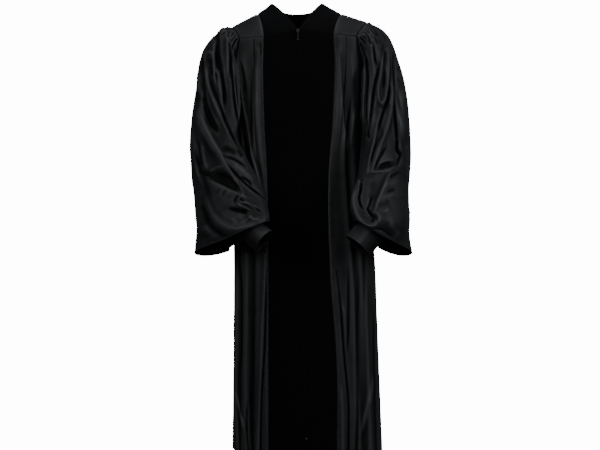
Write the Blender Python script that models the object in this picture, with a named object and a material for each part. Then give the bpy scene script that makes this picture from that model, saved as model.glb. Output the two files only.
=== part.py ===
"""A pulpit robe, worn and hollow: velvet bands down both sides of a zip, yokes, a pleated front, a fluted
back, bell sleeves over bent arms, and inner sleeves that carry the cuffs.

Metres, +Z up. The origin is the middle of the neck opening, level with the points where the shoulders meet
the neck. The front faces -Y, and the wearer's left is +X. A "drop" is a distance below the origin. A "turn"
is an angle about the body's own upright axis: 0 at the middle of the front, 90 degrees at the wearer's left.
"""

import math

import bmesh
import bpy
import numpy as np
from mathutils import Matrix, Vector

RIGHT, LEFT = -1, 1  # the wearer's

# ---- Cloth
WALL = 0.002
SEAM_GAP = 0.0003
REST_GAP = 0.0003

# ---- Levels, as drops
YOKE_SEAM = {RIGHT: 0.109, LEFT: 0.103}
BACK_SEAM = 0.140
UNDERARM = 0.280
HEM = 1.247
HEM_TILT = 0.008  # the hem hangs this much lower at the wearer's right, and this much higher at the left
ZIP_FOOT = 1.120

# ---- Cuts across the body: a rounded box at each drop, about an axis that drifts to the wearer's left
BODY_COLUMNS = ("drop", "axis_x", "half_width", "front", "back")
BODY = np.array(
    (
        (0.085, 0.0000, 0.200, 0.1120, 0.106),
        (0.105, 0.0000, 0.200, 0.1150, 0.111),
        (0.200, 0.0000, 0.197, 0.1290, 0.124),
        (0.290, 0.0010, 0.190, 0.1370, 0.126),
        (0.450, 0.0050, 0.186, 0.1420, 0.122),
        (0.720, 0.0165, 0.1945, 0.1520, 0.145),
        (1.260, 0.0280, 0.206, 0.1720, 0.180),
    )
)
ROUNDNESS = 2.6  # 2 is an ellipse, and a higher number is nearer a box

# ---- Edges of the velvet bands down the front, as x
BAND_COLUMNS = ("drop", "outer_right", "middle", "outer_left")
BAND = np.array(
    (
        (0.085, -0.0930, -0.0005, 0.0957),
        (0.229, -0.0933, -0.0005, 0.0962),
        (0.364, -0.0893, 0.0005, 0.0906),
        (0.455, -0.0840, 0.0030, 0.0830),
        (0.739, -0.0793, 0.0090, 0.0849),
        (0.978, -0.0793, 0.0150, 0.1019),
        (1.260, -0.0787, 0.0250, 0.1029),
    )
)
ZIP_SLOT = 0.0040  # between the velvet's two edges, with the zip chain in it
SLIT_AT_HEM = 0.0090  # below the zip the edges part by this much

# ---- Neck and shoulders: (x, y, z) where each line starts on the shoulder, and the points that bend it forward
V_FOOT_DROP = 0.0886
NECK_POINT = {RIGHT: (-0.0755, 0.0, 0.0), LEFT: (0.0690, 0.0, 0.0)}
NECK_BEND = {RIGHT: (-0.0370, -0.048, -0.030), LEFT: (0.0340, -0.048, -0.030)}
BAND_POINT = {RIGHT: (-0.1156, 0.0, -0.028), LEFT: (0.1168, 0.0, -0.0350)}
BAND_BENDS = {
    RIGHT: ((-0.1100, -0.045, -0.030), (-0.0960, -0.092, -0.070)),
    LEFT: ((0.1120, -0.045, -0.034), (0.0985, -0.092, -0.068)),
}
SHOULDER_POINT = {RIGHT: (-0.1860, 0.0, -0.0646), LEFT: (0.1890, 0.0, -0.0540)}
FRONT_SHOULDER_BENDS = {
    RIGHT: ((-0.1840, -0.030, -0.067), (-0.1690, -0.066, -0.084)),
    LEFT: ((0.1870, -0.030, -0.057), (0.1700, -0.066, -0.077)),
}
BACK_SHOULDER_BENDS = {
    RIGHT: ((-0.1850, 0.034, -0.067), (-0.1760, 0.072, -0.100)),
    LEFT: ((0.1870, 0.034, -0.057), (0.1780, 0.072, -0.094)),
}
FRONT_CORNER_DEPTH = 0.0845  # how far forward the armhole starts at the front yoke seam
BACK_CORNER_DEPTH = 0.0850
NECK_BACK = 0.078  # how far back the neck opening reaches
NECK_BAND_BACK = 0.112
NECK_BACK_DIP = 0.018
YOKE_BULGE = 0.010

# ---- Folds of the body: ridges (+) and valleys (-) that run down at a turn, in degrees
FOLD_COLUMNS = ("turn_top", "turn_foot", "from_drop", "to_drop", "half_width", "height")
BODY_FOLDS = np.array(
    (
        (-43.5, -42.5, 0.15, 1.40, 4.5, 0.008),
        (-49.0, -48.0, 0.13, 1.40, 3.5, -0.007),
        (-60.0, -50.0, 0.13, 0.62, 5.0, 0.008),
        (-57.0, -56.0, 0.55, 1.40, 5.0, 0.009),
        (-64.0, -63.0, 0.70, 1.40, 4.0, -0.007),
        (-72.0, -73.0, 0.60, 1.40, 6.0, 0.008),
        (-84.0, -86.0, 0.70, 1.40, 6.0, -0.006),
        (42.5, 43.0, 0.12, 1.40, 4.0, 0.007),
        (47.5, 47.0, 0.12, 1.40, 3.0, -0.007),
        (53.0, 52.0, 0.13, 1.40, 4.0, 0.006),
        (60.0, 50.0, 0.60, 1.10, 4.0, -0.007),
        (72.0, 70.0, 0.55, 1.40, 6.0, 0.009),
        (83.0, 82.0, 0.80, 1.40, 5.0, -0.007),
    )
)
FOLD_FADE = 0.06  # over this much length a fold rises from the flat cloth
FLUTES = 12
FLUTE_COLUMNS = ("drop", "height")
FLUTE_HEIGHTS = np.array(((0.140, 0.0), (0.175, 0.006), (0.300, 0.0055), (0.700, 0.008), (1.260, 0.013)))

# ---- Bell sleeves: the four sides of each cut across, from the armhole to the mouth
SLEEVE_COLUMNS = ("outer", "front", "inner", "back")
SLEEVE_CUTS = {
    RIGHT: np.array(
        (
            ((-0.230, 0.004, -0.080), (-0.180, -0.112, -0.165), (-0.197, -0.030, -0.302), (-0.214, 0.092, -0.190)),
            ((-0.285, 0.010, -0.220), (-0.215, -0.128, -0.270), (-0.166, -0.105, -0.335), (-0.240, 0.082, -0.290)),
            ((-0.301, 0.020, -0.400), (-0.252, -0.122, -0.400), (-0.158, -0.130, -0.398), (-0.222, 0.055, -0.420)),
            ((-0.291, 0.022, -0.530), (-0.232, -0.175, -0.533), (-0.113, -0.185, -0.487), (-0.215, 0.020, -0.535)),
            ((-0.284, -0.010, -0.630), (-0.200, -0.215, -0.606), (-0.082, -0.205, -0.560), (-0.200, -0.020, -0.622)),
            ((-0.286, -0.060, -0.697), (-0.178, -0.235, -0.650), (-0.073, -0.215, -0.611), (-0.182, -0.050, -0.688)),
        )
    ),
    LEFT: np.array(
        (
            ((0.232, 0.004, -0.072), (0.186, -0.112, -0.165), (0.198, -0.030, -0.302), (0.214, 0.092, -0.190)),
            ((0.292, 0.010, -0.212), (0.222, -0.128, -0.270), (0.176, -0.105, -0.335), (0.242, 0.082, -0.290)),
            ((0.306, 0.020, -0.400), (0.260, -0.122, -0.400), (0.172, -0.125, -0.405), (0.226, 0.055, -0.420)),
            ((0.302, 0.022, -0.530), (0.250, -0.184, -0.535), (0.158, -0.175, -0.497), (0.222, 0.020, -0.530)),
            ((0.307, 0.005, -0.630), (0.244, -0.214, -0.606), (0.136, -0.200, -0.566), (0.226, -0.005, -0.618)),
            ((0.315, -0.040, -0.697), (0.222, -0.225, -0.648), (0.146, -0.205, -0.610), (0.232, -0.030, -0.688)),
        )
    ),
}
LAP_SIDE, LAP_SPREAD = 135, 60  # degrees round a cut, where the sleeve laps over the front beside it
SLEEVE_LAPS = {  # how far the first two cuts are drawn over the front
    RIGHT: ((0.019, -0.009, 0.019), (0.014, 0.005, 0.007)),
    LEFT: ((-0.012, -0.009, 0.019), (-0.012, 0.005, 0.007)),
}
SLEEVE_STEPS = (0, 0.35, 0.8, 1.4, 2, 2.6, 3.2, 3.8, 4.4, 5, 5.5, 6)
CLEAR_OF_BODY = 0.012
SLEEVE_GATHERS = 18
GATHER_HEIGHT = 0.0025
SLEEVE_FOLD_COLUMNS = ("side_start", "side_end", "from_step", "to_step", "half_width", "height")
SLEEVE_FOLDS = {
    RIGHT: np.array(
        (
            (30, 120, 0.5, 5.2, 14, 0.012),
            (75, 150, 0.5, 3.8, 12, -0.010),
            (105, 165, 0.4, 3.2, 10, 0.008),
            (60, 100, 3.0, 5.2, 20, -0.018),
            (20, 60, 3.2, 5.6, 16, 0.012),
            (345, 350, 0.8, 5.0, 12, -0.010),
            (215, 230, 1.0, 4.5, 16, -0.011),
            (300, 290, 0.8, 5.0, 16, -0.011),
        )
    ),
    LEFT: np.array(
        (
            (60, 75, 0.5, 3.2, 11, 0.012),
            (95, 125, 0.5, 3.4, 12, -0.009),
            (32, 45, 0.5, 3.2, 12, -0.010),
            (120, 130, 3.3, 5.8, 18, -0.018),
            (75, 85, 3.4, 5.6, 14, 0.012),
            (10, 20, 0.8, 5.2, 12, 0.009),
            (215, 230, 1.0, 4.5, 16, -0.011),
            (300, 290, 0.8, 5.0, 16, -0.011),
        )
    ),
}

# ---- Inner sleeves and cuffs: round tubes, pressed a little flat
CUFF_END = {RIGHT: (-0.0900, -0.225, -0.6605), LEFT: (0.1620, -0.200, -0.6740)}
CUFF_AIM = {RIGHT: (0.74, -0.25, -0.62), LEFT: (-0.64, -0.28, -0.71)}
CUFF_LENGTH = 0.085
CUFF_RADIUS = {RIGHT: (0.035, 0.029), LEFT: (0.043, 0.032)}
CUFF_TAPER = 0.92
INNER_SLEEVE_SEAT = {RIGHT: (3.8, 120), LEFT: (3.8, 110)}  # the step and side of the bell sleeve that it is sewn to
INNER_SLEEVE_RUN = 0.034  # it leaves its seat, and meets the cuff, straight for about this far
INNER_SLEEVE_RADIUS = 0.034

# ---- Grid counts
FRONT_COLUMNS = 10
BAND_COLUMNS_ACROSS = 3
BACK_COLUMNS = FLUTES * 2
SHOULDER_ROWS = 3
ARMHOLE_ROWS = 6
SKIRT_ROWS = 10
TUBE_COLUMNS = 14

# ---- Zip
TAPE_WIDTH, TAPE_WALL = 0.0130, 0.0008
CHAIN_WIDTH, CHAIN_WALL = 0.0034, 0.0020
CHAIN_TOP_DROP = 0.0985
TAPE_TOP_DROP = 0.0920
SLIDER_WIDTH, SLIDER_HEIGHT, SLIDER_PLATE = 0.0084, 0.0125, 0.0012
SLIDER_TOP_DROP = 0.0898
SLIDER_OFF_CLOTH = 0.0005
NECK_WIDTH, NECK_HEIGHT = 0.0022, 0.0045
BRIDGE_WIDTH, BRIDGE_LENGTH, BRIDGE_WALL, BRIDGE_ROOM = 0.0016, 0.0056, 0.0010, 0.0019
PULL_BAR = 0.0011
PULL_WIDTH, PULL_EYE_LENGTH, PULL_LENGTH = 0.0058, 0.0062, 0.0260
PULL_TAB_WIDTH = 0.0050
STOP_SIZE = (0.0032, 0.0026, 0.0050)


# ---------------------------------------------------------------- curves and surfaces


def through(knots, values, at):
    """A smooth curve through the values at the knots: cubic pieces, with slopes from the neighbours."""
    knots = np.asarray(knots, float)
    values = np.asarray(values, float)
    at = np.clip(np.asarray(at, float), knots[0], knots[-1])
    slopes = np.gradient(values, knots, axis=0)
    low = np.clip(np.searchsorted(knots, at, side="right") - 1, 0, len(knots) - 2)
    step = knots[low + 1] - knots[low]
    t = (at - knots[low]) / step
    shape = t.shape + (1,) * (values.ndim - 1)
    t, step = t.reshape(shape), step.reshape(shape)
    return (
        (1 + 2 * t) * (1 - t) ** 2 * values[low]
        + t * (1 - t) ** 2 * step * slopes[low]
        + t**2 * (3 - 2 * t) * values[low + 1]
        + t**2 * (t - 1) * step * slopes[low + 1]
    )


def ease(share):
    """0 to 1 with no corner at either end."""
    share = np.clip(share, 0.0, 1.0)
    return share * share * (3 - 2 * share)


def bend(points, share):
    """A Bezier curve through the first and last of three or four points, drawn towards the others."""
    points = np.asarray(points, float)
    share = np.asarray(share, float)[..., None]
    while len(points) > 1:
        points = [a + (b - a) * share for a, b in zip(points[:-1], points[1:])]
    return points[0]


def folds_at(place, along, folds, fade):
    """The push of a table of folds at (place across, place along)."""
    push = np.zeros(np.broadcast(place, along).shape)
    for start, end, low, high, half_width, height in folds:
        share = np.clip((along - low) / (high - low), 0, 1)
        middle = start + (end - start) * share
        off = (place - middle + 180) % 360 - 180
        fades = ease((along - low) / fade) * ease((high - along) / fade)
        push = push + height * fades * np.exp(-((off / half_width) ** 2))
    return push


def body_at(turn, drop, folded=True):
    """A point of the body cloth, turn in degrees."""
    turn, drop = np.broadcast_arrays(np.asarray(turn, float), np.asarray(drop, float))
    size = through(BODY[:, 0], BODY[:, 1:], drop)
    axis_x, half_width, front, back = np.moveaxis(size, -1, 0)
    angle = np.radians(turn)
    depth = np.where(np.cos(angle) > 0, front, back)
    across = np.abs(np.sin(angle)) / half_width
    along = np.abs(np.cos(angle)) / depth
    radius = (across**ROUNDNESS + along**ROUNDNESS) ** (-1 / ROUNDNESS)
    if folded:
        radius = radius + folds_at(turn, drop, BODY_FOLDS, FOLD_FADE)
    return np.stack((axis_x + radius * np.sin(angle), -radius * np.cos(angle), -drop), -1)


def turn_at_x(x, drop):
    """The turn of the front cloth that lies at x."""
    axis_x, half_width, front, _ = np.moveaxis(through(BODY[:, 0], BODY[:, 1:], drop), -1, 0)
    off = np.asarray(x) - axis_x
    depth = front * (1 - (np.abs(off) / half_width) ** ROUNDNESS) ** (1 / ROUNDNESS)
    return np.degrees(np.arctan2(off, depth))


def turn_at_depth(y, drop, side):
    """The turn of the cloth at one side that lies at depth y."""
    _, half_width, front, back = np.moveaxis(through(BODY[:, 0], BODY[:, 1:], drop), -1, 0)
    depth = np.where(np.asarray(y) < 0, front, back)
    across = half_width * (1 - (np.abs(y) / depth) ** ROUNDNESS) ** (1 / ROUNDNESS)
    return np.degrees(np.arctan2(side * across, -np.asarray(y)))


def band_x(drop, column):
    return through(BAND[:, 0], BAND[:, BAND_COLUMNS.index(column)], drop)


def slot_half(drop):
    """Half the gap between the velvet's two edges: even beside the zip, then wider down to the hem."""
    return 0.5 * (ZIP_SLOT + (SLIT_AT_HEM - ZIP_SLOT) * ease((drop - ZIP_FOOT) / (HEM - ZIP_FOOT)))


def armhole_levels(corner_drop, corner_depth):
    """Drops and depths down one edge of the armhole, a quarter of an ellipse as seen from the side."""
    angle = np.linspace(0, math.pi / 2, ARMHOLE_ROWS + 1)
    return corner_drop + (UNDERARM - corner_drop) * np.sin(angle), corner_depth * np.cos(angle)


def skirt_drops(turn):
    """Drops of the rows below the underarm at one turn, with the hem's tilt."""
    hem = HEM - HEM_TILT * np.sin(np.radians(turn))
    shares = np.linspace(0, 1, SKIRT_ROWS + 1)[1:]
    return UNDERARM + (hem - UNDERARM) * shares


# ---------------------------------------------------------------- the cloth pieces, as grids of points


def band_edge_row(side):
    """The line between a velvet band and its yoke, from the shoulder to the yoke seam."""
    seam = YOKE_SEAM[side]
    foot = body_at(turn_at_x(band_x(seam, "outer_right" if side < 0 else "outer_left"), seam), seam)
    return bend((BAND_POINT[side], *BAND_BENDS[side], foot), np.linspace(0, 1, SHOULDER_ROWS + 1))


def shoulder_edge(side, bends, corner, rows):
    return bend((SHOULDER_POINT[side], *bends[side], corner), np.linspace(0, 1, rows + 1))


def front_edges(side):
    """Drops, inner turns and outer turns of a front's rows, from the yoke seam to the hem."""
    drops, depths = armhole_levels(YOKE_SEAM[side], FRONT_CORNER_DEPTH)
    outer = turn_at_depth(-depths, drops, side)
    outer[-1] = 90 * side
    drops = np.concatenate((drops, skirt_drops(0)))
    outer = np.concatenate((outer, np.full(SKIRT_ROWS, 90.0 * side)))
    inner = turn_at_x(band_x(drops, "outer_right" if side < 0 else "outer_left"), drops)
    return drops, inner, outer


def row_drops(drops, turns):
    """Each row's own drops, with the hem's tilt let in below the underarm."""
    share = ease((drops - UNDERARM) / (HEM - UNDERARM))[:, None]
    return drops[:, None] - share * HEM_TILT * np.sin(np.radians(turns))


def front_grid(side):
    drops, inner, outer = front_edges(side)
    share = np.linspace(0, 1, FRONT_COLUMNS + 1)
    first, last = (outer, inner) if side < 0 else (inner, outer)
    turns = first[:, None] + (last - first)[:, None] * share
    return body_at(turns, row_drops(drops, turns))


def yoke_front_grid(side):
    """From the shoulder line (first row) down to the yoke seam."""
    inner = band_edge_row(side)
    seam_row = front_grid(side)[0]
    corner = seam_row[0 if side < 0 else -1]
    outer = shoulder_edge(side, FRONT_SHOULDER_BENDS, corner, SHOULDER_ROWS)
    first, last = (outer, inner) if side < 0 else (inner, outer)
    across = np.linspace(0, 1, FRONT_COLUMNS + 1)[None, :, None]
    rows = first[:, None] * (1 - across) + last[:, None] * across
    down = np.linspace(0, 1, SHOULDER_ROWS + 1)[:, None, None]
    return rows + down**2 * (seam_row - rows[-1])


def velvet_drops(side):
    """Drops of the velvet's rows on the middle line, from the foot of the V to the hem."""
    drops = front_edges(side)[0]
    return drops - (YOKE_SEAM[side] - V_FOOT_DROP) * (1 - ease((drops - drops[0]) / 0.12))


def velvet_grid(side):
    """From the shoulder line, down the neck's V, then down beside the zip to the hem."""
    drops, inner_turn, _ = front_edges(side)
    middle_drop = velvet_drops(side)
    middle_x = band_x(middle_drop, "middle") + side * slot_half(middle_drop)
    outer_x = body_at(inner_turn, drops, folded=False)[:, 0]
    share = np.linspace(0, 1, BAND_COLUMNS_ACROSS + 1)
    share = share if side > 0 else share[::-1]
    x = middle_x[:, None] + (outer_x - middle_x)[:, None] * share
    drop = middle_drop[:, None] + (drops - middle_drop)[:, None] * share
    turns = turn_at_x(x, drop)
    tilt = HEM_TILT * ease((drop - UNDERARM) / (HEM - UNDERARM)) * np.sin(np.radians(turns))
    lower = body_at(turns, drop - tilt)
    v_foot = lower[0, 0 if side > 0 else -1]
    v_edge = bend((NECK_POINT[side], NECK_BEND[side], v_foot), np.linspace(0, 1, SHOULDER_ROWS + 1))
    upper = v_edge[:, None] + (band_edge_row(side) - v_edge)[:, None] * share[None, :, None]
    down = np.linspace(0, 1, SHOULDER_ROWS + 1)[:, None, None]
    upper = upper + down**2 * (lower[0] - upper[-1])
    return np.concatenate((upper[:-1], lower))


def back_turns():
    """Turns of the back's rows at its left and right edges, and their drops."""
    drops, depths = armhole_levels(BACK_SEAM, BACK_CORNER_DEPTH)
    left = turn_at_depth(depths, drops, LEFT)
    right = turn_at_depth(depths, drops, RIGHT) + 360
    left[-1], right[-1] = 90, 270
    drops = np.concatenate((drops, skirt_drops(0)))
    left = np.concatenate((left, np.full(SKIRT_ROWS, 90.0)))
    right = np.concatenate((right, np.full(SKIRT_ROWS, 270.0)))
    return drops, left, right


def back_grid():
    """From the yoke seam to the hem, with flutes that open out downwards."""
    drops, left, right = back_turns()
    share = np.linspace(0, 1, BACK_COLUMNS + 1)
    turns = left[:, None] + (right - left)[:, None] * share
    level = row_drops(drops, turns)
    points = body_at(turns, level)
    height = through(FLUTE_HEIGHTS[:, 0], FLUTE_HEIGHTS[:, 1], level)
    wave = height * np.cos(2 * math.pi * FLUTES * share) * ease(np.sin(math.pi * share) * 4)
    angle = np.radians(turns)
    return points + wave[..., None] * np.stack((np.sin(angle), -np.cos(angle), 0 * angle), -1)


def neck_line(back, dip, start, end, columns):
    """Half round the back of the neck, from the wearer's left to the right."""
    angle = np.linspace(0, math.pi, columns + 1)
    along = (1 - np.cos(angle)) / 2
    start, end = np.asarray(start), np.asarray(end)
    points = start + (end - start) * along[:, None]
    points[:, 1] += back * np.sin(angle)
    points[:, 2] -= dip * np.sin(angle)
    return points


BACK_YOKE_COLUMNS = BACK_COLUMNS + 2 * SHOULDER_ROWS


def neck_band_edges():
    inner = neck_line(NECK_BACK, NECK_BACK_DIP, NECK_POINT[LEFT], NECK_POINT[RIGHT], BACK_YOKE_COLUMNS)
    outer = neck_line(NECK_BAND_BACK, NECK_BACK_DIP, BAND_POINT[LEFT], BAND_POINT[RIGHT], BACK_YOKE_COLUMNS)
    return inner, outer


def neck_band_grid():
    inner, outer = neck_band_edges()
    return np.stack((inner, outer))


def yoke_back_grid():
    """From the neck band outwards, to the armholes and the back seam."""
    seam_row = back_grid()[0]
    left = shoulder_edge(LEFT, BACK_SHOULDER_BENDS, seam_row[0], SHOULDER_ROWS)
    right = shoulder_edge(RIGHT, BACK_SHOULDER_BENDS, seam_row[-1], SHOULDER_ROWS)
    outer = np.concatenate((left[:-1], seam_row, right[::-1][1:]))
    inner = neck_band_edges()[1]
    share = np.linspace(0, 1, 4)[:, None, None]
    points = inner + (outer - inner) * share
    around = np.linspace(0, math.pi, BACK_YOKE_COLUMNS + 1)[None, :]
    bulge = YOKE_BULGE * np.sin(math.pi * share[..., 0]) * np.sin(around) ** 0.5
    points[..., 1] += bulge
    points[..., 2] += bulge
    return points


def armhole_loop(side):
    """The armhole from the shoulder point, down the front, under the arm and up the back."""
    yoke, front, back, yoke_back = yoke_front_grid(side), front_grid(side), back_grid(), yoke_back_grid()
    outer = 0 if side < 0 else -1
    rows = slice(0, ARMHOLE_ROWS + 1)
    yoke_edge = yoke[:, outer]
    back_edge = back[rows, -1 if side < 0 else 0][::-1]
    seam_end = yoke_back[-1][::-1][: SHOULDER_ROWS + 1] if side < 0 else yoke_back[-1][: SHOULDER_ROWS + 1]
    loop = np.concatenate((yoke_edge[:-1], front[rows, outer], back_edge[1:], seam_end[::-1][1:-1]))
    ring = np.empty((2 * len(loop), 3))
    ring[0::2] = loop
    ring[1::2] = (loop + np.roll(loop, -1, 0)) / 2
    return ring


def kept_off_body(points, margin):
    """Points moved outwards to lie at least the margin from the body cloth."""
    drop = -points[..., 2]
    axis_x = through(BODY[:, 0], BODY[:, 1], drop)
    off = points[..., :2] - np.stack((axis_x, 0 * axis_x), -1)
    turn = np.degrees(np.arctan2(off[..., 0], -off[..., 1]))
    body = body_at(turn, drop)[..., :2] - np.stack((axis_x, 0 * axis_x), -1)
    need = np.linalg.norm(body, axis=-1) + margin
    have = np.linalg.norm(off, axis=-1)
    moved = points.copy()
    moved[..., :2] += off * (np.maximum(need / have, 1) - 1)[..., None]
    return moved


def sleeve_grid(side):
    """Rings from the armhole to the mouth: outer side first, then front, inner and back."""
    ring = armhole_loop(side)
    around = np.linspace(0, 2 * math.pi, len(ring), endpoint=False)[:, None]
    rings = [ring]
    for outer, front, inner, back in SLEEVE_CUTS[side]:
        middle = (outer + front + inner + back) / 4
        skew = (outer + inner - front - back) / 4
        rings.append(
            middle
            + (outer - inner) / 2 * np.cos(around)
            + (front - back) / 2 * np.sin(around)
            + skew * np.cos(2 * around)
        )
    lap = ease(1 - np.abs(np.degrees(around) - LAP_SIDE) / LAP_SPREAD)
    for cut, push in enumerate(SLEEVE_LAPS[side], 1):
        rings[cut] = rings[cut] + lap * np.array(push)
    steps = np.array(SLEEVE_STEPS)
    points = through(np.arange(len(rings)), np.array(rings), steps)
    out = points - points.mean(1, keepdims=True)
    out /= np.linalg.norm(out, axis=-1, keepdims=True)
    degrees = np.degrees(around[:, 0])[None, :]
    push = folds_at(degrees, steps[:, None], SLEEVE_FOLDS[side], 0.6)
    gather = np.cos(np.radians(degrees) * SLEEVE_GATHERS) * ease(steps / 0.3)[:, None] * ease((2 - steps) / 1.5)[:, None]
    push = push + GATHER_HEIGHT * gather
    points = points + push[..., None] * out
    margin = (CLEAR_OF_BODY * ease(steps / 0.7))[:, None]
    return np.concatenate((points[:1], kept_off_body(points[1:], margin[1:])))


def tube_rings(middles, aims, flat_dirs, radii):
    """Rings about a line of middles, each across its aim and lying flat towards its flat direction."""
    angle = np.linspace(0, 2 * math.pi, TUBE_COLUMNS, endpoint=False)
    rings = []
    for middle, aim, flat, (wide, narrow) in zip(middles, aims, flat_dirs, radii):
        aim = Vector(aim).normalized()
        flat = (Vector(flat) - aim * aim.dot(Vector(flat))).normalized()
        other = aim.cross(flat)
        rings.append([Vector(middle) + flat * wide * math.cos(a) + other * narrow * math.sin(a) for a in angle])
    return np.array(rings)


def cuff_line(side):
    end, aim = Vector(CUFF_END[side]), Vector(CUFF_AIM[side]).normalized()
    return end, aim, end - aim * CUFF_LENGTH


def cuff_grid(side):
    end, aim, start = cuff_line(side)
    wide, narrow = CUFF_RADIUS[side]
    share = np.linspace(0, 1, 4)
    middles = [start.lerp(end, s) for s in share]
    radii = [(wide * (CUFF_TAPER + (1 - CUFF_TAPER) * s), narrow) for s in share]
    return tube_rings(middles, [aim] * 4, [(0, 0, 1)] * 4, radii)


def inner_sleeve_grid(side, bell, bell_normals):
    """From its seat on the inside of the bell sleeve to the cuff."""
    _, aim, start = cuff_line(side)
    step, turn = INNER_SLEEVE_SEAT[side]
    row = SLEEVE_STEPS.index(step)
    column = round(turn / 360 * bell.shape[1])
    seat = bell[row, column]
    out = Vector(bell_normals[row, column]).normalized()
    down = Vector(bell[row + 1, column] - bell[row - 1, column]).normalized()
    first = Vector(seat) - out * (INNER_SLEEVE_RADIUS + WALL + REST_GAP)
    wide, narrow = CUFF_RADIUS[side]
    share = np.linspace(0, 1, 6)
    run = INNER_SLEEVE_RUN
    middles = bend((first, first + down * run, start - aim * run, start), share)
    lines = np.gradient(middles, axis=0)
    lines[0], lines[-1] = down, aim
    blend = [ease(s) for s in share]
    flats = [out.lerp(Vector((0, 0, 1)), float(b)) for b in blend]
    radii = [
        (
            INNER_SLEEVE_RADIUS + (wide * CUFF_TAPER - INNER_SLEEVE_RADIUS) * b,
            INNER_SLEEVE_RADIUS + (narrow - INNER_SLEEVE_RADIUS) * b,
        )
        for b in blend
    ]
    return tube_rings(middles, lines, flats, radii)


# ---------------------------------------------------------------- from grids to closed walls


def face_list(rows, columns, closed):
    """Quads of a grid as index rows, and the grid's own winding points along row x column."""
    last = columns if closed else columns - 1
    quads = []
    for r in range(rows - 1):
        for c in range(last):
            d = (c + 1) % columns
            quads.append((r * columns + c, (r + 1) * columns + c, (r + 1) * columns + d, r * columns + d))
    return quads


def shared_normals(grids):
    """Normals at every grid point, shared by all the pieces that meet there."""
    total = {}
    keys = {}
    for name, (grid, closed, flip) in grids.items():
        flat = grid.reshape(-1, 3)
        keys[name] = [tuple(k) for k in np.round(flat * 1e5).astype(int)]
        for quad in face_list(grid.shape[0], grid.shape[1], closed):
            a, b, c, d = flat[list(quad)]
            normal = np.cross(c - a, d - b) * (-1 if flip else 1)
            for i in quad:
                total[keys[name][i]] = total.get(keys[name][i], 0) + normal
    normals = {}
    for name, (grid, _, _) in grids.items():
        found = np.array([total[k] for k in keys[name]])
        normals[name] = (found / np.linalg.norm(found, axis=1, keepdims=True)).reshape(grid.shape)
    return normals


def level_shoulder_line(grid, normals):
    """One normal for all the cloth on a shoulder line, where the pieces' points don't match."""
    for side in (RIGHT, LEFT):
        line = np.subtract(SHOULDER_POINT[side], NECK_POINT[side])
        normal = np.array((-line[2], 0, line[0])) * side
        on_line = (np.abs(grid[..., 1]) < 1e-6) & (grid[..., 2] > SHOULDER_POINT[side][2] - 1e-6)
        on_line &= grid[..., 0] * side > 0
        normals[on_line] = normal / np.linalg.norm(normal)


def inset(grid, normals, closed):
    """The grid with each free edge moved in along the cloth by half a seam gap."""
    moved = grid.copy()

    def move(edge, edge_normals, inside, write, ring):
        ahead = np.roll(edge, -1, 0) - np.roll(edge, 1, 0)
        if not ring:
            ahead[0], ahead[-1] = edge[1] - edge[0], edge[-1] - edge[-2]
        inward = np.cross(edge_normals, ahead)
        inward /= np.linalg.norm(inward, axis=1, keepdims=True)
        inward *= np.sign(np.einsum("ij,ij->i", inward, inside - edge))[:, None]
        write += inward * SEAM_GAP / 2

    move(grid[0], normals[0], grid[1], moved[0], closed)
    move(grid[-1], normals[-1], grid[-2], moved[-1], closed)
    if not closed:
        move(grid[:, 0], normals[:, 0], grid[:, 1], moved[:, 0], False)
        move(grid[:, -1], normals[:, -1], grid[:, -2], moved[:, -1], False)
    return moved


def wall_object(name, grid, normals, closed, flip, material, wall=WALL, shift=0.0):
    """A closed wall about a grid of points. shift moves it outwards."""
    rows, columns = grid.shape[:2]
    outer = (grid + normals * (shift + wall / 2)).reshape(-1, 3)
    inner = (grid + normals * (shift - wall / 2)).reshape(-1, 3)
    count = rows * columns
    quads = face_list(rows, columns, closed)
    faces = list(quads) + [tuple(count + i for i in reversed(quad)) for quad in quads]
    rims = [[(0, c) for c in range(columns)], [(rows - 1, c) for c in range(columns)]]
    turned = [False, True]
    if not closed:
        rims += [[(r, 0) for r in range(rows)], [(r, columns - 1) for r in range(rows)]]
        turned += [True, False]
    for rim, turn in zip(rims, turned):
        index = [r * columns + c for r, c in rim]
        pairs = list(zip(index, index[1:] + index[:1])) if closed else list(zip(index[:-1], index[1:]))
        for a, b in pairs:
            face = (a, b, count + b, count + a)
            faces.append(face[::-1] if turn else face)
    if flip:
        faces = [face[::-1] for face in faces]
    mesh = bpy.data.meshes.new(name)
    mesh.from_pydata([tuple(p) for p in np.concatenate((outer, inner))], [], faces)
    mesh.update()
    return add_object(name, mesh, material)


def add_object(name, mesh, material):
    obj = bpy.data.objects.new(name, mesh)
    bpy.context.scene.collection.objects.link(obj)
    mesh.materials.append(material)
    mesh.shade_smooth()
    mesh.set_sharp_from_angle(angle=math.radians(50))
    return obj


def material(name, colour, roughness, metallic=0.0):
    made = bpy.data.materials.new(name)
    made.use_nodes = True
    shader = made.node_tree.nodes["Principled BSDF"]
    shader.inputs["Base Color"].default_value = (*colour, 1)
    shader.inputs["Roughness"].default_value = roughness
    shader.inputs["Metallic"].default_value = metallic
    return made


# ---------------------------------------------------------------- the zip


def zip_strip(half, drops, inner, outer, depth):
    """A strip beside the middle line: inner and outer are distances from it, depth is behind the velvet's middle."""
    middle = band_x(drops, "middle")
    columns = []
    for off in (inner, outer):
        x = middle + half * off
        columns.append(body_at(turn_at_x(x, drops), drops, folded=False) + np.array((0, depth, 0)))
    return np.stack(columns if half > 0 else columns[::-1], 1)


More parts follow.
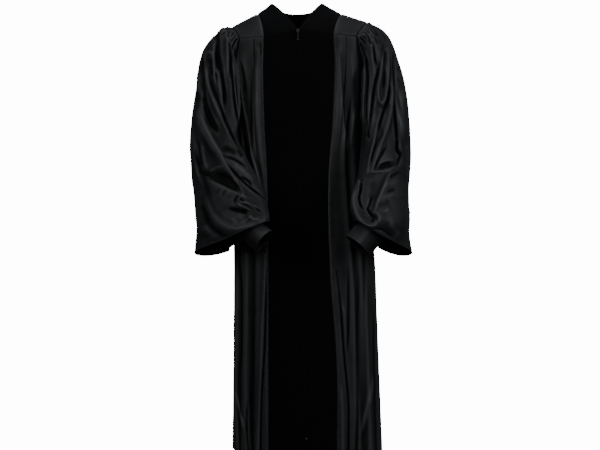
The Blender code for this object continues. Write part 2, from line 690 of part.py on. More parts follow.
def middle_frame(drop):
    """Place and slope of the cloth on the middle line: its point, its outward normal and its downward line."""
    x = band_x(np.array([drop - 0.004, drop, drop + 0.004]), "middle")
    levels = np.array([drop - 0.004, drop, drop + 0.004])
    above, here, below = body_at(turn_at_x(x, levels), levels, folded=False)
    down = Vector(below - above).normalized()
    out = Vector((1, 0, 0)).cross(down).normalized()
    out = out if out.y < 0 else -out
    return Vector(here), out, down


def block(bm, size, centre, bevel=0.0):
    """A box, x across, y outwards and z down the cloth, added to bm."""
    made = bmesh.ops.create_cube(bm, size=1.0)["verts"]
    bmesh.ops.scale(bm, vec=size, verts=made)
    bmesh.ops.translate(bm, vec=centre, verts=made)
    if bevel:
        edges = [e for e in bm.edges if e.verts[0] in made and e.verts[1] in made]
        bmesh.ops.bevel(bm, geom=edges, offset=bevel, segments=1, affect="EDGES", clamp_overlap=True)


def joined_blocks(name, blocks, placed, material_used):
    """Boxes that overlap one another, united into one body and placed on the cloth."""
    objects = []
    for i, (size, centre, bevel) in enumerate(blocks):
        bm = bmesh.new()
        block(bm, size, centre, bevel)
        mesh = bpy.data.meshes.new(f"{name}_{i}")
        bm.to_mesh(mesh)
        bm.free()
        objects.append(add_object(name if i == 0 else f"{name}_cutter_{i}", mesh, material_used))
    first = objects[0]
    for other in objects[1:]:
        union = first.modifiers.new("join", "BOOLEAN")
        union.operation = "UNION"
        union.object = other
        other.hide_render = True
        other.display_type = "WIRE"
        other.parent = first
    first.matrix_world = placed
    return first


def placed_on_cloth(point, out, down):
    """A frame with x across, y outwards from the cloth and z up the cloth."""
    up = -down
    across = out.cross(up).normalized()
    return Matrix(
        (
            (across.x, out.x, up.x, point.x),
            (across.y, out.y, up.y, point.y),
            (across.z, out.z, up.z, point.z),
            (0, 0, 0, 1),
        )
    )


def make_zip(tape_cloth, metal):
    upper = np.array((TAPE_TOP_DROP, CHAIN_TOP_DROP - 0.0012, CHAIN_TOP_DROP + 0.0015))
    rows = velvet_drops(LEFT)
    rows = rows[(rows > upper[-1]) & (rows < ZIP_FOOT - 2 * STOP_SIZE[2])]
    drops = np.concatenate((upper, rows, (ZIP_FOOT,)))
    inner = np.where(drops < CHAIN_TOP_DROP, NECK_WIDTH / 2 + 0.0004, SEAM_GAP / 2)
    behind = WALL / 2 + REST_GAP + TAPE_WALL / 2
    for side, name in ((RIGHT, "zip_tape_right"), (LEFT, "zip_tape_left")):
        grid = zip_strip(side, drops, inner, TAPE_WIDTH, behind)
        normals = shared_normals({name: (grid, False, False)})[name]
        wall_object(name, grid, normals, False, False, tape_cloth, TAPE_WALL)
    chain_drops = np.concatenate(((CHAIN_TOP_DROP,), drops[3:-1], (ZIP_FOOT - STOP_SIZE[2] - 0.0006,)))
    pair = [zip_strip(side, chain_drops, 0.0, CHAIN_WIDTH / 2, 0.0) for side in (RIGHT, LEFT)]
    grid = np.concatenate((pair[0][:, :1], pair[1]), 1)
    normals = shared_normals({"zip_chain": (grid, False, False)})["zip_chain"]
    wall_object("zip_chain", grid, normals, False, False, metal, CHAIN_WALL, 0.0)

    point, out, down = middle_frame(ZIP_FOOT - STOP_SIZE[2] / 2)
    joined_blocks("zip_stop", [(STOP_SIZE, (0, 0, 0), 0.0004)], placed_on_cloth(point, out, down), metal)


def make_slider(metal):
    """The slider: plates before and behind the cloth, a neck between them, and a bridge for the pull."""
    drop = SLIDER_TOP_DROP + SLIDER_HEIGHT / 2
    point, out, down = middle_frame(drop)
    front = WALL / 2 + SLIDER_OFF_CLOTH
    back = WALL / 2 + REST_GAP + TAPE_WALL + REST_GAP
    plate = (SLIDER_WIDTH, SLIDER_PLATE, SLIDER_HEIGHT)
    neck_depth = front + back + SLIDER_PLATE
    neck_middle = (front - back) / 2
    neck_height = SLIDER_HEIGHT / 2 - NECK_HEIGHT / 2 - 0.0004
    bridge_out = front + SLIDER_PLATE + BRIDGE_ROOM
    foot_size = (BRIDGE_WIDTH, BRIDGE_ROOM + BRIDGE_WALL + SLIDER_PLATE / 2, BRIDGE_WALL)
    foot_out = bridge_out + BRIDGE_WALL - foot_size[1] / 2
    blocks = [
        (plate, (0, front + SLIDER_PLATE / 2, 0), 0.0004),
        (plate, (0, -back - SLIDER_PLATE / 2, 0), 0.0004),
        ((NECK_WIDTH, neck_depth, NECK_HEIGHT), (0, neck_middle, neck_height), 0.0),
        ((BRIDGE_WIDTH, BRIDGE_WALL, BRIDGE_LENGTH), (0, bridge_out + BRIDGE_WALL / 2, 0), 0.0),
        (foot_size, (0, foot_out, BRIDGE_LENGTH / 2 - BRIDGE_WALL / 2), 0.0),
        (foot_size, (0, foot_out, -BRIDGE_LENGTH / 2 + BRIDGE_WALL / 2), 0.0),
    ]
    placed = placed_on_cloth(point, out, down)
    joined_blocks("zip_slider", blocks, placed, metal)
    axis_out = front + SLIDER_PLATE + BRIDGE_ROOM / 2
    return placed @ Matrix.Translation((0, axis_out, 0))


def make_pull(metal, hinge):
    """The pull tab: an eye whose bar lies under the bridge, and a tab that hangs from it. Its origin is the hinge."""
    arm = (PULL_WIDTH - BRIDGE_WIDTH) / 2 - 0.0007
    arm_x = PULL_WIDTH / 2 - arm / 2
    eye = PULL_EYE_LENGTH
    tab_length = PULL_LENGTH - eye
    blocks = [
        ((PULL_WIDTH, PULL_BAR, PULL_BAR), (0, 0, 0), 0.0002),
        ((arm, PULL_BAR, eye), (-arm_x, 0, PULL_BAR / 2 - eye / 2), 0.0),
        ((arm, PULL_BAR, eye), (arm_x, 0, PULL_BAR / 2 - eye / 2), 0.0),
        ((PULL_TAB_WIDTH, PULL_BAR, tab_length), (0, 0, PULL_BAR / 2 - eye + 0.0006 - tab_length / 2), 0.0003),
    ]
    return joined_blocks("zip_pull", blocks, hinge, metal)


# ---------------------------------------------------------------- build


def clear_scene():
    for obj in list(bpy.data.objects):
        bpy.data.objects.remove(obj, do_unlink=True)


def make_cloth(satin, velvet):
    side_name = {RIGHT: "right", LEFT: "left"}
    grids = {"back": (back_grid(), False, False), "yoke_back": (yoke_back_grid(), False, False)}
    grids["velvet_neck"] = (neck_band_grid(), False, False)
    for side, name in side_name.items():
        grids[f"front_{name}"] = (front_grid(side), False, False)
        grids[f"yoke_front_{name}"] = (yoke_front_grid(side), False, False)
        grids[f"velvet_{name}"] = (velvet_grid(side), False, False)
        grids[f"sleeve_{name}"] = (sleeve_grid(side), True, side > 0)
    normals = shared_normals(grids)
    for name in grids:
        level_shoulder_line(grids[name][0], normals[name])
    for name in side_name.values():
        ring = normals[f"sleeve_{name}"][0]
        ring[1::2] = ring[0::2] + np.roll(ring[0::2], -1, 0)
        ring /= np.linalg.norm(ring, axis=1, keepdims=True)
    for name, (grid, closed, flip) in grids.items():
        moved = inset(grid, normals[name], closed)
        wall_object(name, moved, normals[name], closed, flip, velvet if "velvet" in name else satin)

    for side, name in side_name.items():
        inner = inner_sleeve_grid(side, grids[f"sleeve_{name}"][0], normals[f"sleeve_{name}"])
        pair = {f"inner_sleeve_{name}": (inner, True, True), f"cuff_{name}": (cuff_grid(side), True, True)}
        pair_normals = shared_normals(pair)
        for piece, (grid, closed, flip) in pair.items():
            moved = inset(grid, pair_normals[piece], closed)
            wall_object(piece, moved, pair_normals[piece], closed, flip, satin)


def main():
    clear_scene()
    satin = material("black_satin", (0.012, 0.013, 0.015), 0.42)
    velvet = material("black_velvet", (0.003, 0.003, 0.004), 0.95)
    tape_cloth = material("zip_tape_cloth", (0.008, 0.008, 0.009), 0.85)
    metal = material("coated_metal", (0.020, 0.020, 0.022), 0.35, 0.8)
    make_cloth(satin, velvet)
    make_zip(tape_cloth, metal)
    hinge = make_slider(metal)
    make_pull(metal, hinge)


main()
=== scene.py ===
# %% [markdown]
# # A black pulpit robe
# This lesson builds the looks of a worn, empty pulpit robe in Blender. The model that it stands on fixes
# every size and every joint. Here each piece of cloth is made again as a fine sheet of its own, with the
# folds, seams and turned edges that a tailor leaves, and with cloth that shines or soaks up the light.
#
# Metres, +Z up. The origin is the middle of the neck opening. The front faces -Y and the wearer's left is
# +X.

# %% Load the model that fixes every size
import math

import bmesh
import bpy
import numpy as np
from mathutils import Matrix, Vector


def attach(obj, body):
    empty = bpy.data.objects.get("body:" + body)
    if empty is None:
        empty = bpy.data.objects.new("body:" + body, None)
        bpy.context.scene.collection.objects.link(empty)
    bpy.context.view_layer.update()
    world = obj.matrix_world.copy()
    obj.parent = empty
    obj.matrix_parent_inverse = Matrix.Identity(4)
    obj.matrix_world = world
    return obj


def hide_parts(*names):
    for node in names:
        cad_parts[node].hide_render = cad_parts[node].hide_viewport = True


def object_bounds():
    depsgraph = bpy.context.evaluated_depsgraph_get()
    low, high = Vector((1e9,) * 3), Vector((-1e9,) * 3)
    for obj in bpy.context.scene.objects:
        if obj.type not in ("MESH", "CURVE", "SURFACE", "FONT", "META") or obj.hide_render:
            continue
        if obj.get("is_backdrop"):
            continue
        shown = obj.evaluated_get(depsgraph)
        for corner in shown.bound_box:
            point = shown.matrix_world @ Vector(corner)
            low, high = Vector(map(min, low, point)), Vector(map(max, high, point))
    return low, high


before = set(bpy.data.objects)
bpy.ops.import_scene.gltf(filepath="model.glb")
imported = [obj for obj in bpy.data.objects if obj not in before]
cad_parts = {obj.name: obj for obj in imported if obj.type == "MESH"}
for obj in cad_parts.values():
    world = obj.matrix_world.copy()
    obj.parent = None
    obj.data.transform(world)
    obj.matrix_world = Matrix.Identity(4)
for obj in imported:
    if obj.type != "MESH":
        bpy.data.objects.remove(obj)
cad_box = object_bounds()
print("nodes in the model:", len(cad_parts))

# %% [markdown]
# ## Camera
# The robe is seen from straight in front, from about three metres, level with the cuffs. The long lens
# keeps the shoulders and the hem in proportion. It is set first, because every fold is judged from here.

# %% Set up the camera
EYE = (0.0048, -3.2, -0.619)
LENS_MM, SENSOR_MM, SEES_AS_FAR_AS = 68.57, 36.0, 60


def link(obj):
    """Puts an object in the scene and gives it back."""
    bpy.context.scene.collection.objects.link(obj)
    return obj


camera = bpy.data.cameras.new("camera")
camera.lens = LENS_MM
camera.sensor_width = SENSOR_MM
camera.clip_end = SEES_AS_FAR_AS
eye = link(bpy.data.objects.new("camera", camera))
eye.location = EYE
eye.rotation_euler = (math.radians(90), 0, 0)
bpy.context.scene.camera = eye
print("camera at", EYE)

# %% [markdown]
# ## Studio
# Black satin shows its folds only by how they turn to the light. Soft lights in front, at either side,
# above and behind are small enough to leave the depth of each fold dark, and the room itself is dim. The
# paper all round is one pale sheet, swept up in a ring so that no corner shows from any side. It would
# fill every fold with light of its own, so it is painted dark and made to glow for the eye alone.

# %% Sweep a pale floor up all round
FLOOR_Z = -1.46
FLOOR_RADIUS, SWEEP_RADIUS, WALL_TOP = 4.2, 1.4, 2.6
SWEEP_SIDES, SWEEP_STEPS, INNER_RING = 96, 16, 0.3
PAPER_GLOW, PAPER_PAINT = 14.0, (0.12, 0.12, 0.12, 1)


def new_material(name):
    """A material with a Principled shader, given back with its nodes and its shader."""
    made = bpy.data.materials.new(name)
    made.use_nodes = True
    tree = made.node_tree
    return made, tree, tree.nodes["Principled BSDF"]


def give(tree, socket, value):
    """Sets a socket, or links it to the socket that its value comes from."""
    if isinstance(value, bpy.types.NodeSocket):
        tree.links.new(value, socket)
    else:
        socket.default_value = value


def feed(tree, node, **values):
    """Gives values to a node's sockets by their names, with _ for a space."""
    for label, value in values.items():
        give(tree, node.inputs[label.replace("_", " ")], value)


def sums(tree, operation, *values):
    """A Math node. Each value is a number or the socket that it comes from."""
    node = tree.nodes.new("ShaderNodeMath")
    node.operation = operation
    for socket, value in zip(node.inputs, values):
        give(tree, socket, value)
    return node.outputs[0]


profile = [(INNER_RING, FLOOR_Z), (FLOOR_RADIUS, FLOOR_Z)]
for step in range(1, SWEEP_STEPS + 1):
    turn = math.radians(90 * step / SWEEP_STEPS)
    out_by, up_by = SWEEP_RADIUS * math.sin(turn), SWEEP_RADIUS * (1 - math.cos(turn))
    profile.append((FLOOR_RADIUS + out_by, FLOOR_Z + up_by))
profile.append((FLOOR_RADIUS + SWEEP_RADIUS, WALL_TOP))
sweep_points = [(0, 0, FLOOR_Z)]
for radius, z in profile:
    for side in range(SWEEP_SIDES):
        turn = 2 * math.pi * side / SWEEP_SIDES
        sweep_points.append((radius * math.cos(turn), radius * math.sin(turn), z))
sweep_faces = []
for side in range(SWEEP_SIDES):
    following = (side + 1) % SWEEP_SIDES
    sweep_faces.append((0, 1 + side, 1 + following))
    for ring in range(len(profile) - 1):
        low, high = 1 + ring * SWEEP_SIDES, 1 + (ring + 1) * SWEEP_SIDES
        sweep_faces.append((low + side, high + side, high + following, low + following))
sweep_mesh = bpy.data.meshes.new("studio_sweep")
sweep_mesh.from_pydata(sweep_points, [], sweep_faces)
sweep_mesh.shade_smooth()
studio_sweep = link(bpy.data.objects.new("studio_sweep", sweep_mesh))
pale, pale_tree, pale_shader = new_material("pale_studio_paper")
feed(pale_tree, pale_shader, Base_Color=PAPER_PAINT, Roughness=0.9, Specular_IOR_Level=0.1)
seen = pale_tree.nodes.new("ShaderNodeLightPath").outputs["Is Camera Ray"]
glow = sums(pale_tree, "MULTIPLY", seen, PAPER_GLOW)
feed(pale_tree, pale_shader, Emission_Color=(1, 1, 1, 1), Emission_Strength=glow)
sweep_mesh.materials.append(pale)
studio_sweep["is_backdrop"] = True
print("studio sweep faces:", len(sweep_faces))

# %% Hang the lights
# name, place, where it points, width, height, watts, colour
LIGHTS = (
    ("front_light", (-0.5, -4.0, 1.0), (0.0, 0.0, -0.35), 1.4, 1.4, 30, (1.0, 0.99, 0.98)),
    ("left_light", (-2.9, -2.6, 0.9), (0.0, 0.0, -0.4), 1.2, 2.0, 30, (1.0, 1.0, 1.0)),
    ("right_light", (3.4, -1.5, 0.8), (0.1, 0.0, -0.5), 1.2, 2.0, 50, (0.95, 0.97, 1.0)),
    ("top_light", (0.0, -0.4, 2.4), (0.0, 0.0, -0.6), 2.4, 2.4, 26, (0.95, 0.97, 1.0)),
    ("back_light", (0.8, 4.1, 0.9), (0.0, 0.0, -0.5), 2.0, 2.0, 40, (1.0, 1.0, 1.0)),
)
ROOM_COLOUR, ROOM_STRENGTH = (0.93, 0.96, 1.0, 1), 0.04


def soft_light(name, place, target, width, height, watts, colour):
    """A rectangular soft light that points at a target."""
    light = bpy.data.lights.new(name, "AREA")
    light.shape = "RECTANGLE"
    light.size, light.size_y = width, height
    light.energy = watts
    light.color = colour
    made = link(bpy.data.objects.new(name, light))
    made.location = place
    made.rotation_euler = (Vector(target) - Vector(place)).to_track_quat("-Z", "Y").to_euler()
    return made


for row in LIGHTS:
    soft_light(*row)
world = bpy.data.worlds.new("studio_room")
world.use_nodes = True
room = world.node_tree
feed(room, room.nodes["Background"], Color=ROOM_COLOUR, Strength=ROOM_STRENGTH)
bpy.context.scene.world = world
print("lights:", len(LIGHTS))

# %% [markdown]
# ## Threads, nap and wear
# Three effects turn up on more than one finish, so each is a node group that is built once. The weave
# lays threads side by side and lets each pass over several others before it dips. The mottle is the slow
# change of dye and gloss over a length of cloth. The wear finds raised edges and breaks them up, for
# metal and plastic.

# %% Make the shared node groups
WEAVE_STEP, LONG_FLOATS, SLUBS_PER_METRE = 0.4, 0.4, 420.0
ALONG_THE_CLOTH = (1.0, 0.35, 1.0)  # draws the patches out along the cloth
EDGE_FROM, EDGE_TO, EVEN_WEAR = 0.5, 0.62, 0.35


def new_group(name, inputs, outputs):
    """An empty shader group that is given a vector and some numbers, and puts out numbers."""
    group = bpy.data.node_groups.new(name, "ShaderNodeTree")
    group.interface.new_socket(name="Vector", in_out="INPUT", socket_type="NodeSocketVector")
    for label, value in inputs.items():
        socket = group.interface.new_socket(name=label, in_out="INPUT", socket_type="NodeSocketFloat")
        socket.default_value = value
    for label in outputs:
        group.interface.new_socket(name=label, in_out="OUTPUT", socket_type="NodeSocketFloat")
    return group, group.nodes.new("NodeGroupInput"), group.nodes.new("NodeGroupOutput")


def noise(tree, vector, scale, detail):
    """A Noise Texture on a vector, as its factor."""
    node = tree.nodes.new("ShaderNodeTexNoise")
    feed(tree, node, Vector=vector, Scale=scale, Detail=detail)
    return node.outputs["Fac"]


def build_weave():
    """Height of a woven cloth: threads side by side, each dipping once in so many rows."""
    group, given, out = new_group(
        "Thread_weave",
        {"Threads per metre": 3000.0, "Passes over": 5.0, "Slub": 0.3},
        ("Height", "Gloss"),
    )
    split = group.nodes.new("ShaderNodeSeparateXYZ")
    group.links.new(given.outputs["Vector"], split.inputs[0])
    across = sums(group, "MULTIPLY", split.outputs["X"], given.outputs["Threads per metre"])
    along = sums(group, "MULTIPLY", split.outputs["Y"], given.outputs["Threads per metre"])
    rows = sums(group, "DIVIDE", along, given.outputs["Passes over"])
    stepped = sums(group, "MULTIPLY_ADD", sums(group, "FLOOR", across), WEAVE_STEP, rows)
    thread = sums(group, "ABSOLUTE", sums(group, "SINE", sums(group, "MULTIPLY", across, math.pi)))
    dip = sums(group, "ABSOLUTE", sums(group, "SINE", sums(group, "MULTIPLY", stepped, math.pi)))
    floats = sums(group, "POWER", dip, LONG_FLOATS)
    slub = noise(group, given.outputs["Vector"], SLUBS_PER_METRE, 3.0)
    woven = sums(group, "MULTIPLY", thread, floats)
    height = sums(group, "MULTIPLY_ADD", slub, given.outputs["Slub"], woven)
    feed(group, out, Height=height, Gloss=floats)
    return group


def build_mottle():
    """Slow, uneven change over a length of cloth, from 0 to 1, and soft creases much smaller than a fold."""
    group, given, out = new_group(
        "Cloth_mottle",
        {"Patches per metre": 14.0, "Creases per metre": 70.0},
        ("Shade", "Crease height"),
    )
    stretch = group.nodes.new("ShaderNodeVectorMath")
    stretch.operation = "MULTIPLY"
    stretch.inputs[1].default_value = ALONG_THE_CLOTH
    group.links.new(given.outputs["Vector"], stretch.inputs[0])
    patches = noise(group, stretch.outputs[0], given.outputs["Patches per metre"], 3.0)
    creases = noise(group, stretch.outputs[0], given.outputs["Creases per metre"], 2.0)
    feed(group, out, Shade=patches, Crease_height=creases)
    return group


def build_wear():
    """Where raised edges have rubbed bright, broken up by fine scratches."""
    group, given, out = new_group(
        "Edge_wear",
        {"Scratches per metre": 900.0, "Amount": 0.5},
        ("Worn", "Scratch height"),
    )
    geometry = group.nodes.new("ShaderNodeNewGeometry")
    raised = group.nodes.new("ShaderNodeMapRange")
    feed(group, raised, Value=geometry.outputs["Pointiness"], From_Min=EDGE_FROM, From_Max=EDGE_TO)
    grit = noise(group, given.outputs["Vector"], given.outputs["Scratches per metre"], 4.0)
    broken = sums(group, "MULTIPLY", raised.outputs["Result"], sums(group, "ADD", grit, EVEN_WEAR))
    worn = sums(group, "MINIMUM", sums(group, "MULTIPLY", broken, given.outputs["Amount"]), 1.0)
    feed(group, out, Worn=worn, Scratch_height=grit)
    return group


WEAVE, MOTTLE, WEAR = build_weave(), build_mottle(), build_wear()
print("node groups:", WEAVE.name, MOTTLE.name, WEAR.name)

# %% [markdown]
# ## Black satin
# The body, yokes and sleeves are a black satin: its threads lie over several others, so it has a broad
# soft shine and almost no colour of its own. A plain dark shader looks like plastic. Here the dye and the
# gloss both wander, the weave is a fine bump measured in real threads, and a blind-stitched line marks
# each turned hem. Shade and highlight are also painted into the colour: near black in the depth of each
# fold and lighter on its ridge. The ridges are also given less roughness.

# %% Mix the satin
STITCH_AT, STITCH_WIDE = 0.024, 0.0012  # metres from the hem
# painted fold light, from 0 (painted shade in a fold's depth) to 1 (painted highlight on its ridge), moved a
# little by the dye's mottle, and the colour there
SATIN_DYE_AND_PAINTED_SHADE = (
    (0.00, (0.0008, 0.0008, 0.0010)),
    (0.30, (0.0060, 0.0064, 0.0070)),
    (0.50, (0.0160, 0.0172, 0.0185)),
    (1.00, (0.0500, 0.0530, 0.0570)),
)
MOTTLE_IN_DYE, MOTTLE_IN_GLOSS = 0.16, (0.50, 0.60)
WEAVE_GLOSS, EDGE_DULL, FOLD_GLOSS = -0.03, 0.45, -0.35  # added to the roughness


def place_group(tree, group, vector, **values):
    """A group in a material, with its own values."""
    node = tree.nodes.new("ShaderNodeGroup")
    node.node_tree = group
    feed(tree, node, Vector=vector, **values)
    return node


def blend_colour(tree, share, first, second):
    """A mix of two plain colours, by a share from 0 to 1."""
    node = tree.nodes.new("ShaderNodeMix")
    node.data_type = "RGBA"
    feed(tree, node, Factor=share, A=(*first, 1), B=(*second, 1))
    return node.outputs["Result"]


def between(tree, value, low, high):
    """A value from 0 to 1 read as one from low to high."""
    return sums(tree, "MULTIPLY_ADD", value, high - low, low)


def bump(tree, height, strength, distance, under=None):
    """A Bump node on a height, over another one if given."""
    node = tree.nodes.new("ShaderNodeBump")
    feed(tree, node, Strength=strength, Distance=distance, Height=height)
    if under is not None:
        feed(tree, node, Normal=under)
    return node.outputs["Normal"]


def cloth_metres(tree):
    """Where a point is on its cloth, in metres across and along."""
    node = tree.nodes.new("ShaderNodeUVMap")
    node.uv_map = "cloth_metres"
    return node.outputs["UV"]


def hem_line(tree, stitch_at, stitch_wide):
    """A shallow line at a distance from the hem, where blind stitches hold it."""
    node = tree.nodes.new("ShaderNodeAttribute")
    node.attribute_name = "from_hem"
    off = sums(tree, "ABSOLUTE", sums(tree, "SUBTRACT", node.outputs["Fac"], stitch_at))
    return sums(tree, "MINIMUM", sums(tree, "DIVIDE", off, stitch_wide), 1.0)


def painted_fold_light(tree):
    """Painted fold light: 0 is painted shade in a fold's depth, 1 a painted highlight on its ridge, by the
    cloth's measure of its folds.
    """
    node = tree.nodes.new("ShaderNodeAttribute")
    node.attribute_name = "painted_fold_light"
    return sums(tree, "MULTIPLY_ADD", node.outputs["Fac"], 0.5, 0.5)


def mix_satin():
    made, tree, shader = new_material("black_satin")
    metres = cloth_metres(tree)
    mottle = place_group(tree, MOTTLE, metres, Patches_per_metre=16.0, Creases_per_metre=90.0)
    weave = place_group(tree, WEAVE, metres, Threads_per_metre=2600.0, Passes_over=5.0, Slub=0.5)
    shade = mottle.outputs["Shade"]
    raised = painted_fold_light(tree)
    # the ramp paints shade into the fold troughs and highlight onto the ridges, with the dye's mottle on top
    ramp = tree.nodes.new("ShaderNodeValToRGB")
    evenly = sums(tree, "SUBTRACT", raised, MOTTLE_IN_DYE / 2)
    tree.links.new(sums(tree, "MULTIPLY_ADD", shade, MOTTLE_IN_DYE, evenly), ramp.inputs[0])
    for _ in range(len(SATIN_DYE_AND_PAINTED_SHADE) - 2):
        ramp.color_ramp.elements.new(0.5)
    for element, (at, colour) in zip(ramp.color_ramp.elements, SATIN_DYE_AND_PAINTED_SHADE):
        element.position = at
        element.color = (*colour, 1)
    dull = between(tree, shade, *MOTTLE_IN_GLOSS)
    gloss = sums(tree, "MULTIPLY_ADD", weave.outputs["Gloss"], WEAVE_GLOSS, dull)
    edge_on = tree.nodes.new("ShaderNodeLayerWeight").outputs["Facing"]
    dulled = sums(tree, "MULTIPLY_ADD", sums(tree, "POWER", edge_on, 3.0), EDGE_DULL, gloss)
    level = sums(tree, "ADD", dulled, -FOLD_GLOSS / 2)
    rough = sums(tree, "MULTIPLY_ADD", raised, FOLD_GLOSS, level)
    rough = sums(tree, "MINIMUM", rough, 1.0)
    creased = bump(tree, mottle.outputs["Crease height"], 0.25, 0.0016)
    hemmed = bump(tree, hem_line(tree, STITCH_AT, STITCH_WIDE), 0.35, 0.0006, creased)
    woven = bump(tree, weave.outputs["Height"], 0.25, 0.00012, hemmed)
    feed(tree, shader, Base_Color=ramp.outputs["Color"], Roughness=rough, Normal=woven)
    feed(tree, shader, Specular_IOR_Level=0.16)
    return made


satin = mix_satin()
print("satin nodes:", len(satin.node_tree.nodes))

# %% [markdown]
# ## Black velvet
# The bands are velvet: a standing pile that swallows light, darker than the satin, with a faint bloom
# where it is seen edge on and where it has been brushed. Sheen gives the bloom, and a fine grain breaks
# up the surface.

# %% Mix the velvet
PILE_PER_METRE = 1900.0


def mix_velvet():
    made, tree, shader = new_material("black_velvet")
    metres = cloth_metres(tree)
    brushed = place_group(tree, MOTTLE, metres, Patches_per_metre=22.0, Creases_per_metre=160.0)
    shade = brushed.outputs["Shade"]
    colour = blend_colour(tree, shade, (0.0007, 0.0007, 0.0009), (0.0018, 0.0018, 0.0023))
    feed(tree, shader, Base_Color=colour, Roughness=between(tree, shade, 0.82, 0.97))
    pile = noise(tree, metres, PILE_PER_METRE, 2.0)
    lean = bump(tree, brushed.outputs["Crease height"], 0.35, 0.0012)
    feed(tree, shader, Normal=bump(tree, pile, 0.6, 0.0004, lean), Specular_IOR_Level=0.10)
    feed(tree, shader, Sheen_Weight=0.05, Sheen_Roughness=0.35, Sheen_Tint=(0.60, 0.66, 0.80, 1))
    return made


velvet = mix_velvet()
print("velvet nodes:", len(velvet.node_tree.nodes))

# %% [markdown]
# ## Zip finishes
# The zip has four finishes: a ribbed woven tape, a dull nylon coil, and for the slider, its pull and the
# bottom stop a black enamel, and the metal that shows where use has rubbed it away.

# %% Mix the tape, the coil, the enamel and the rubbed metal
GRAIN_PER_METRE, GRAIN_DULL = 2600.0, (-0.06, 0.10)


def object_metres(tree):
    """A point's own place on its object, in metres."""
    return tree.nodes.new("ShaderNodeTexCoord").outputs["Object"]


def mix_tape():
    made, tree, shader = new_material("zip_tape_weave")
    swap = tree.nodes.new("ShaderNodeMapping")
    feed(tree, swap, Vector=object_metres(tree), Rotation=(math.radians(90), 0, 0))
    weave = place_group(tree, WEAVE, swap.outputs[0], Threads_per_metre=1500.0, Passes_over=2.0, Slub=0.2)
    colour = blend_colour(tree, weave.outputs["Gloss"], (0.003, 0.003, 0.004), (0.009, 0.009, 0.011))
    feed(tree, shader, Base_Color=colour, Roughness=between(tree, weave.outputs["Gloss"], 0.9, 0.7))
    ribs = bump(tree, weave.outputs["Height"], 0.7, 0.0002)
    feed(tree, shader, Normal=ribs, Specular_IOR_Level=0.25)
    return made


def mix_hard(name, plain, worn_colour, metallic, dull, amount, gloss=0.5):
    """A finish for a hard piece: its plain colour, and a lighter one along its rubbed edges."""
    made, tree, shader = new_material(name)
    place = object_metres(tree)
    wear = place_group(tree, WEAR, place, Scratches_per_metre=1400.0, Amount=amount)
    colour = blend_colour(tree, wear.outputs["Worn"], plain, worn_colour)
    low, high = GRAIN_DULL
    rough = between(tree, noise(tree, place, GRAIN_PER_METRE, 3.0), dull + low, dull + high)
    scratched = bump(tree, wear.outputs["Scratch height"], 0.2, 0.00006)
    feed(tree, shader, Base_Color=colour, Roughness=rough, Normal=scratched)
    feed(tree, shader, Metallic=metallic, Specular_IOR_Level=gloss)
    return made


zip_tape = mix_tape()
# plain colour, worn colour, metallic, roughness, how much is worn, gloss
zip_coil = mix_hard("zip_nylon_coil", (0.002, 0.002, 0.003), (0.006, 0.006, 0.007), 0.0, 0.55, 0.5, 0.15)
zip_metal = mix_hard("zip_rubbed_metal", (0.07, 0.07, 0.068), (0.22, 0.22, 0.21), 1.0, 0.38, 0.9)
zip_enamel = mix_hard("zip_black_enamel", (0.003, 0.003, 0.003), (0.011, 0.011, 0.010), 0.0, 0.50, 0.8, 0.2)
print("zip finishes:", zip_tape.name, zip_coil.name, zip_metal.name, zip_enamel.name)

# %% [markdown]
# ## Smooth curves
# Every edge and every width on the robe is a smooth curve through a few measured values. Three helpers
# are enough: one goes through the values, one eases a change in and out, and one bends a line between its
# ends.

# %% Curves through measured values


def through(knots, values, at):
    """A smooth curve through the values at the knots: cubic pieces, with slopes from the neighbours."""
    knots = np.asarray(knots, float)
    values = np.asarray(values, float)
    at = np.clip(np.asarray(at, float), knots[0], knots[-1])
    slopes = np.gradient(values, knots, axis=0)
    low = np.clip(np.searchsorted(knots, at, side="right") - 1, 0, len(knots) - 2)
    step = knots[low + 1] - knots[low]
    t = (at - knots[low]) / step
    shape = t.shape + (1,) * (values.ndim - 1)
    t, step = t.reshape(shape), step.reshape(shape)
    return (
        (1 + 2 * t) * (1 - t) ** 2 * values[low]
        + t * (1 - t) ** 2 * step * slopes[low]
        + t**2 * (3 - 2 * t) * values[low + 1]
        + t**2 * (t - 1) * step * slopes[low + 1]
    )


def ease(share):
    """0 to 1 with no corner at either end."""
    share = np.clip(share, 0.0, 1.0)
    return share * share * (3 - 2 * share)


def bend(points, share):
    """A Bezier curve through the first and last of three or four points, drawn towards the others."""
    points = np.asarray(points, float)
    share = np.asarray(share, float)[..., None]
    while len(points) > 1:
        points = [a + (b - a) * share for a, b in zip(points[:-1], points[1:])]
    return points[0]


print("half way through an ease:", ease(0.5))

# %% [markdown]
# ## The body of the robe
# The robe hangs as a rounded box that widens to the hem. The same cuts that shaped the model are used
# here, so a fine sheet of cloth lies where its solid lies. A turn is an angle about the body's upright
# axis, 0 at the middle of the front and 90 degrees at the wearer's left. A drop is a distance below the
# origin.

# %% Measure the body
RIGHT, LEFT = -1, 1  # the wearer's
SIDE_NAME = {RIGHT: "right", LEFT: "left"}
YOKE_SEAM = {RIGHT: 0.109, LEFT: 0.103}
BACK_SEAM, UNDERARM, HEM, HEM_TILT, ZIP_FOOT = 0.140, 0.280, 1.247, 0.008, 1.120
ROUNDNESS = 2.6
# drop, axis x, half width, front, back
BODY = np.array(
    (
        (0.085, 0.0000, 0.200, 0.1120, 0.106),
        (0.105, 0.0000, 0.200, 0.1150, 0.111),
        (0.200, 0.0000, 0.197, 0.1290, 0.124),
        (0.290, 0.0010, 0.190, 0.1370, 0.126),
        (0.450, 0.0050, 0.186, 0.1420, 0.122),
        (0.720, 0.0165, 0.1945, 0.1520, 0.145),
        (1.260, 0.0280, 0.206, 0.1720, 0.180),
    )
)
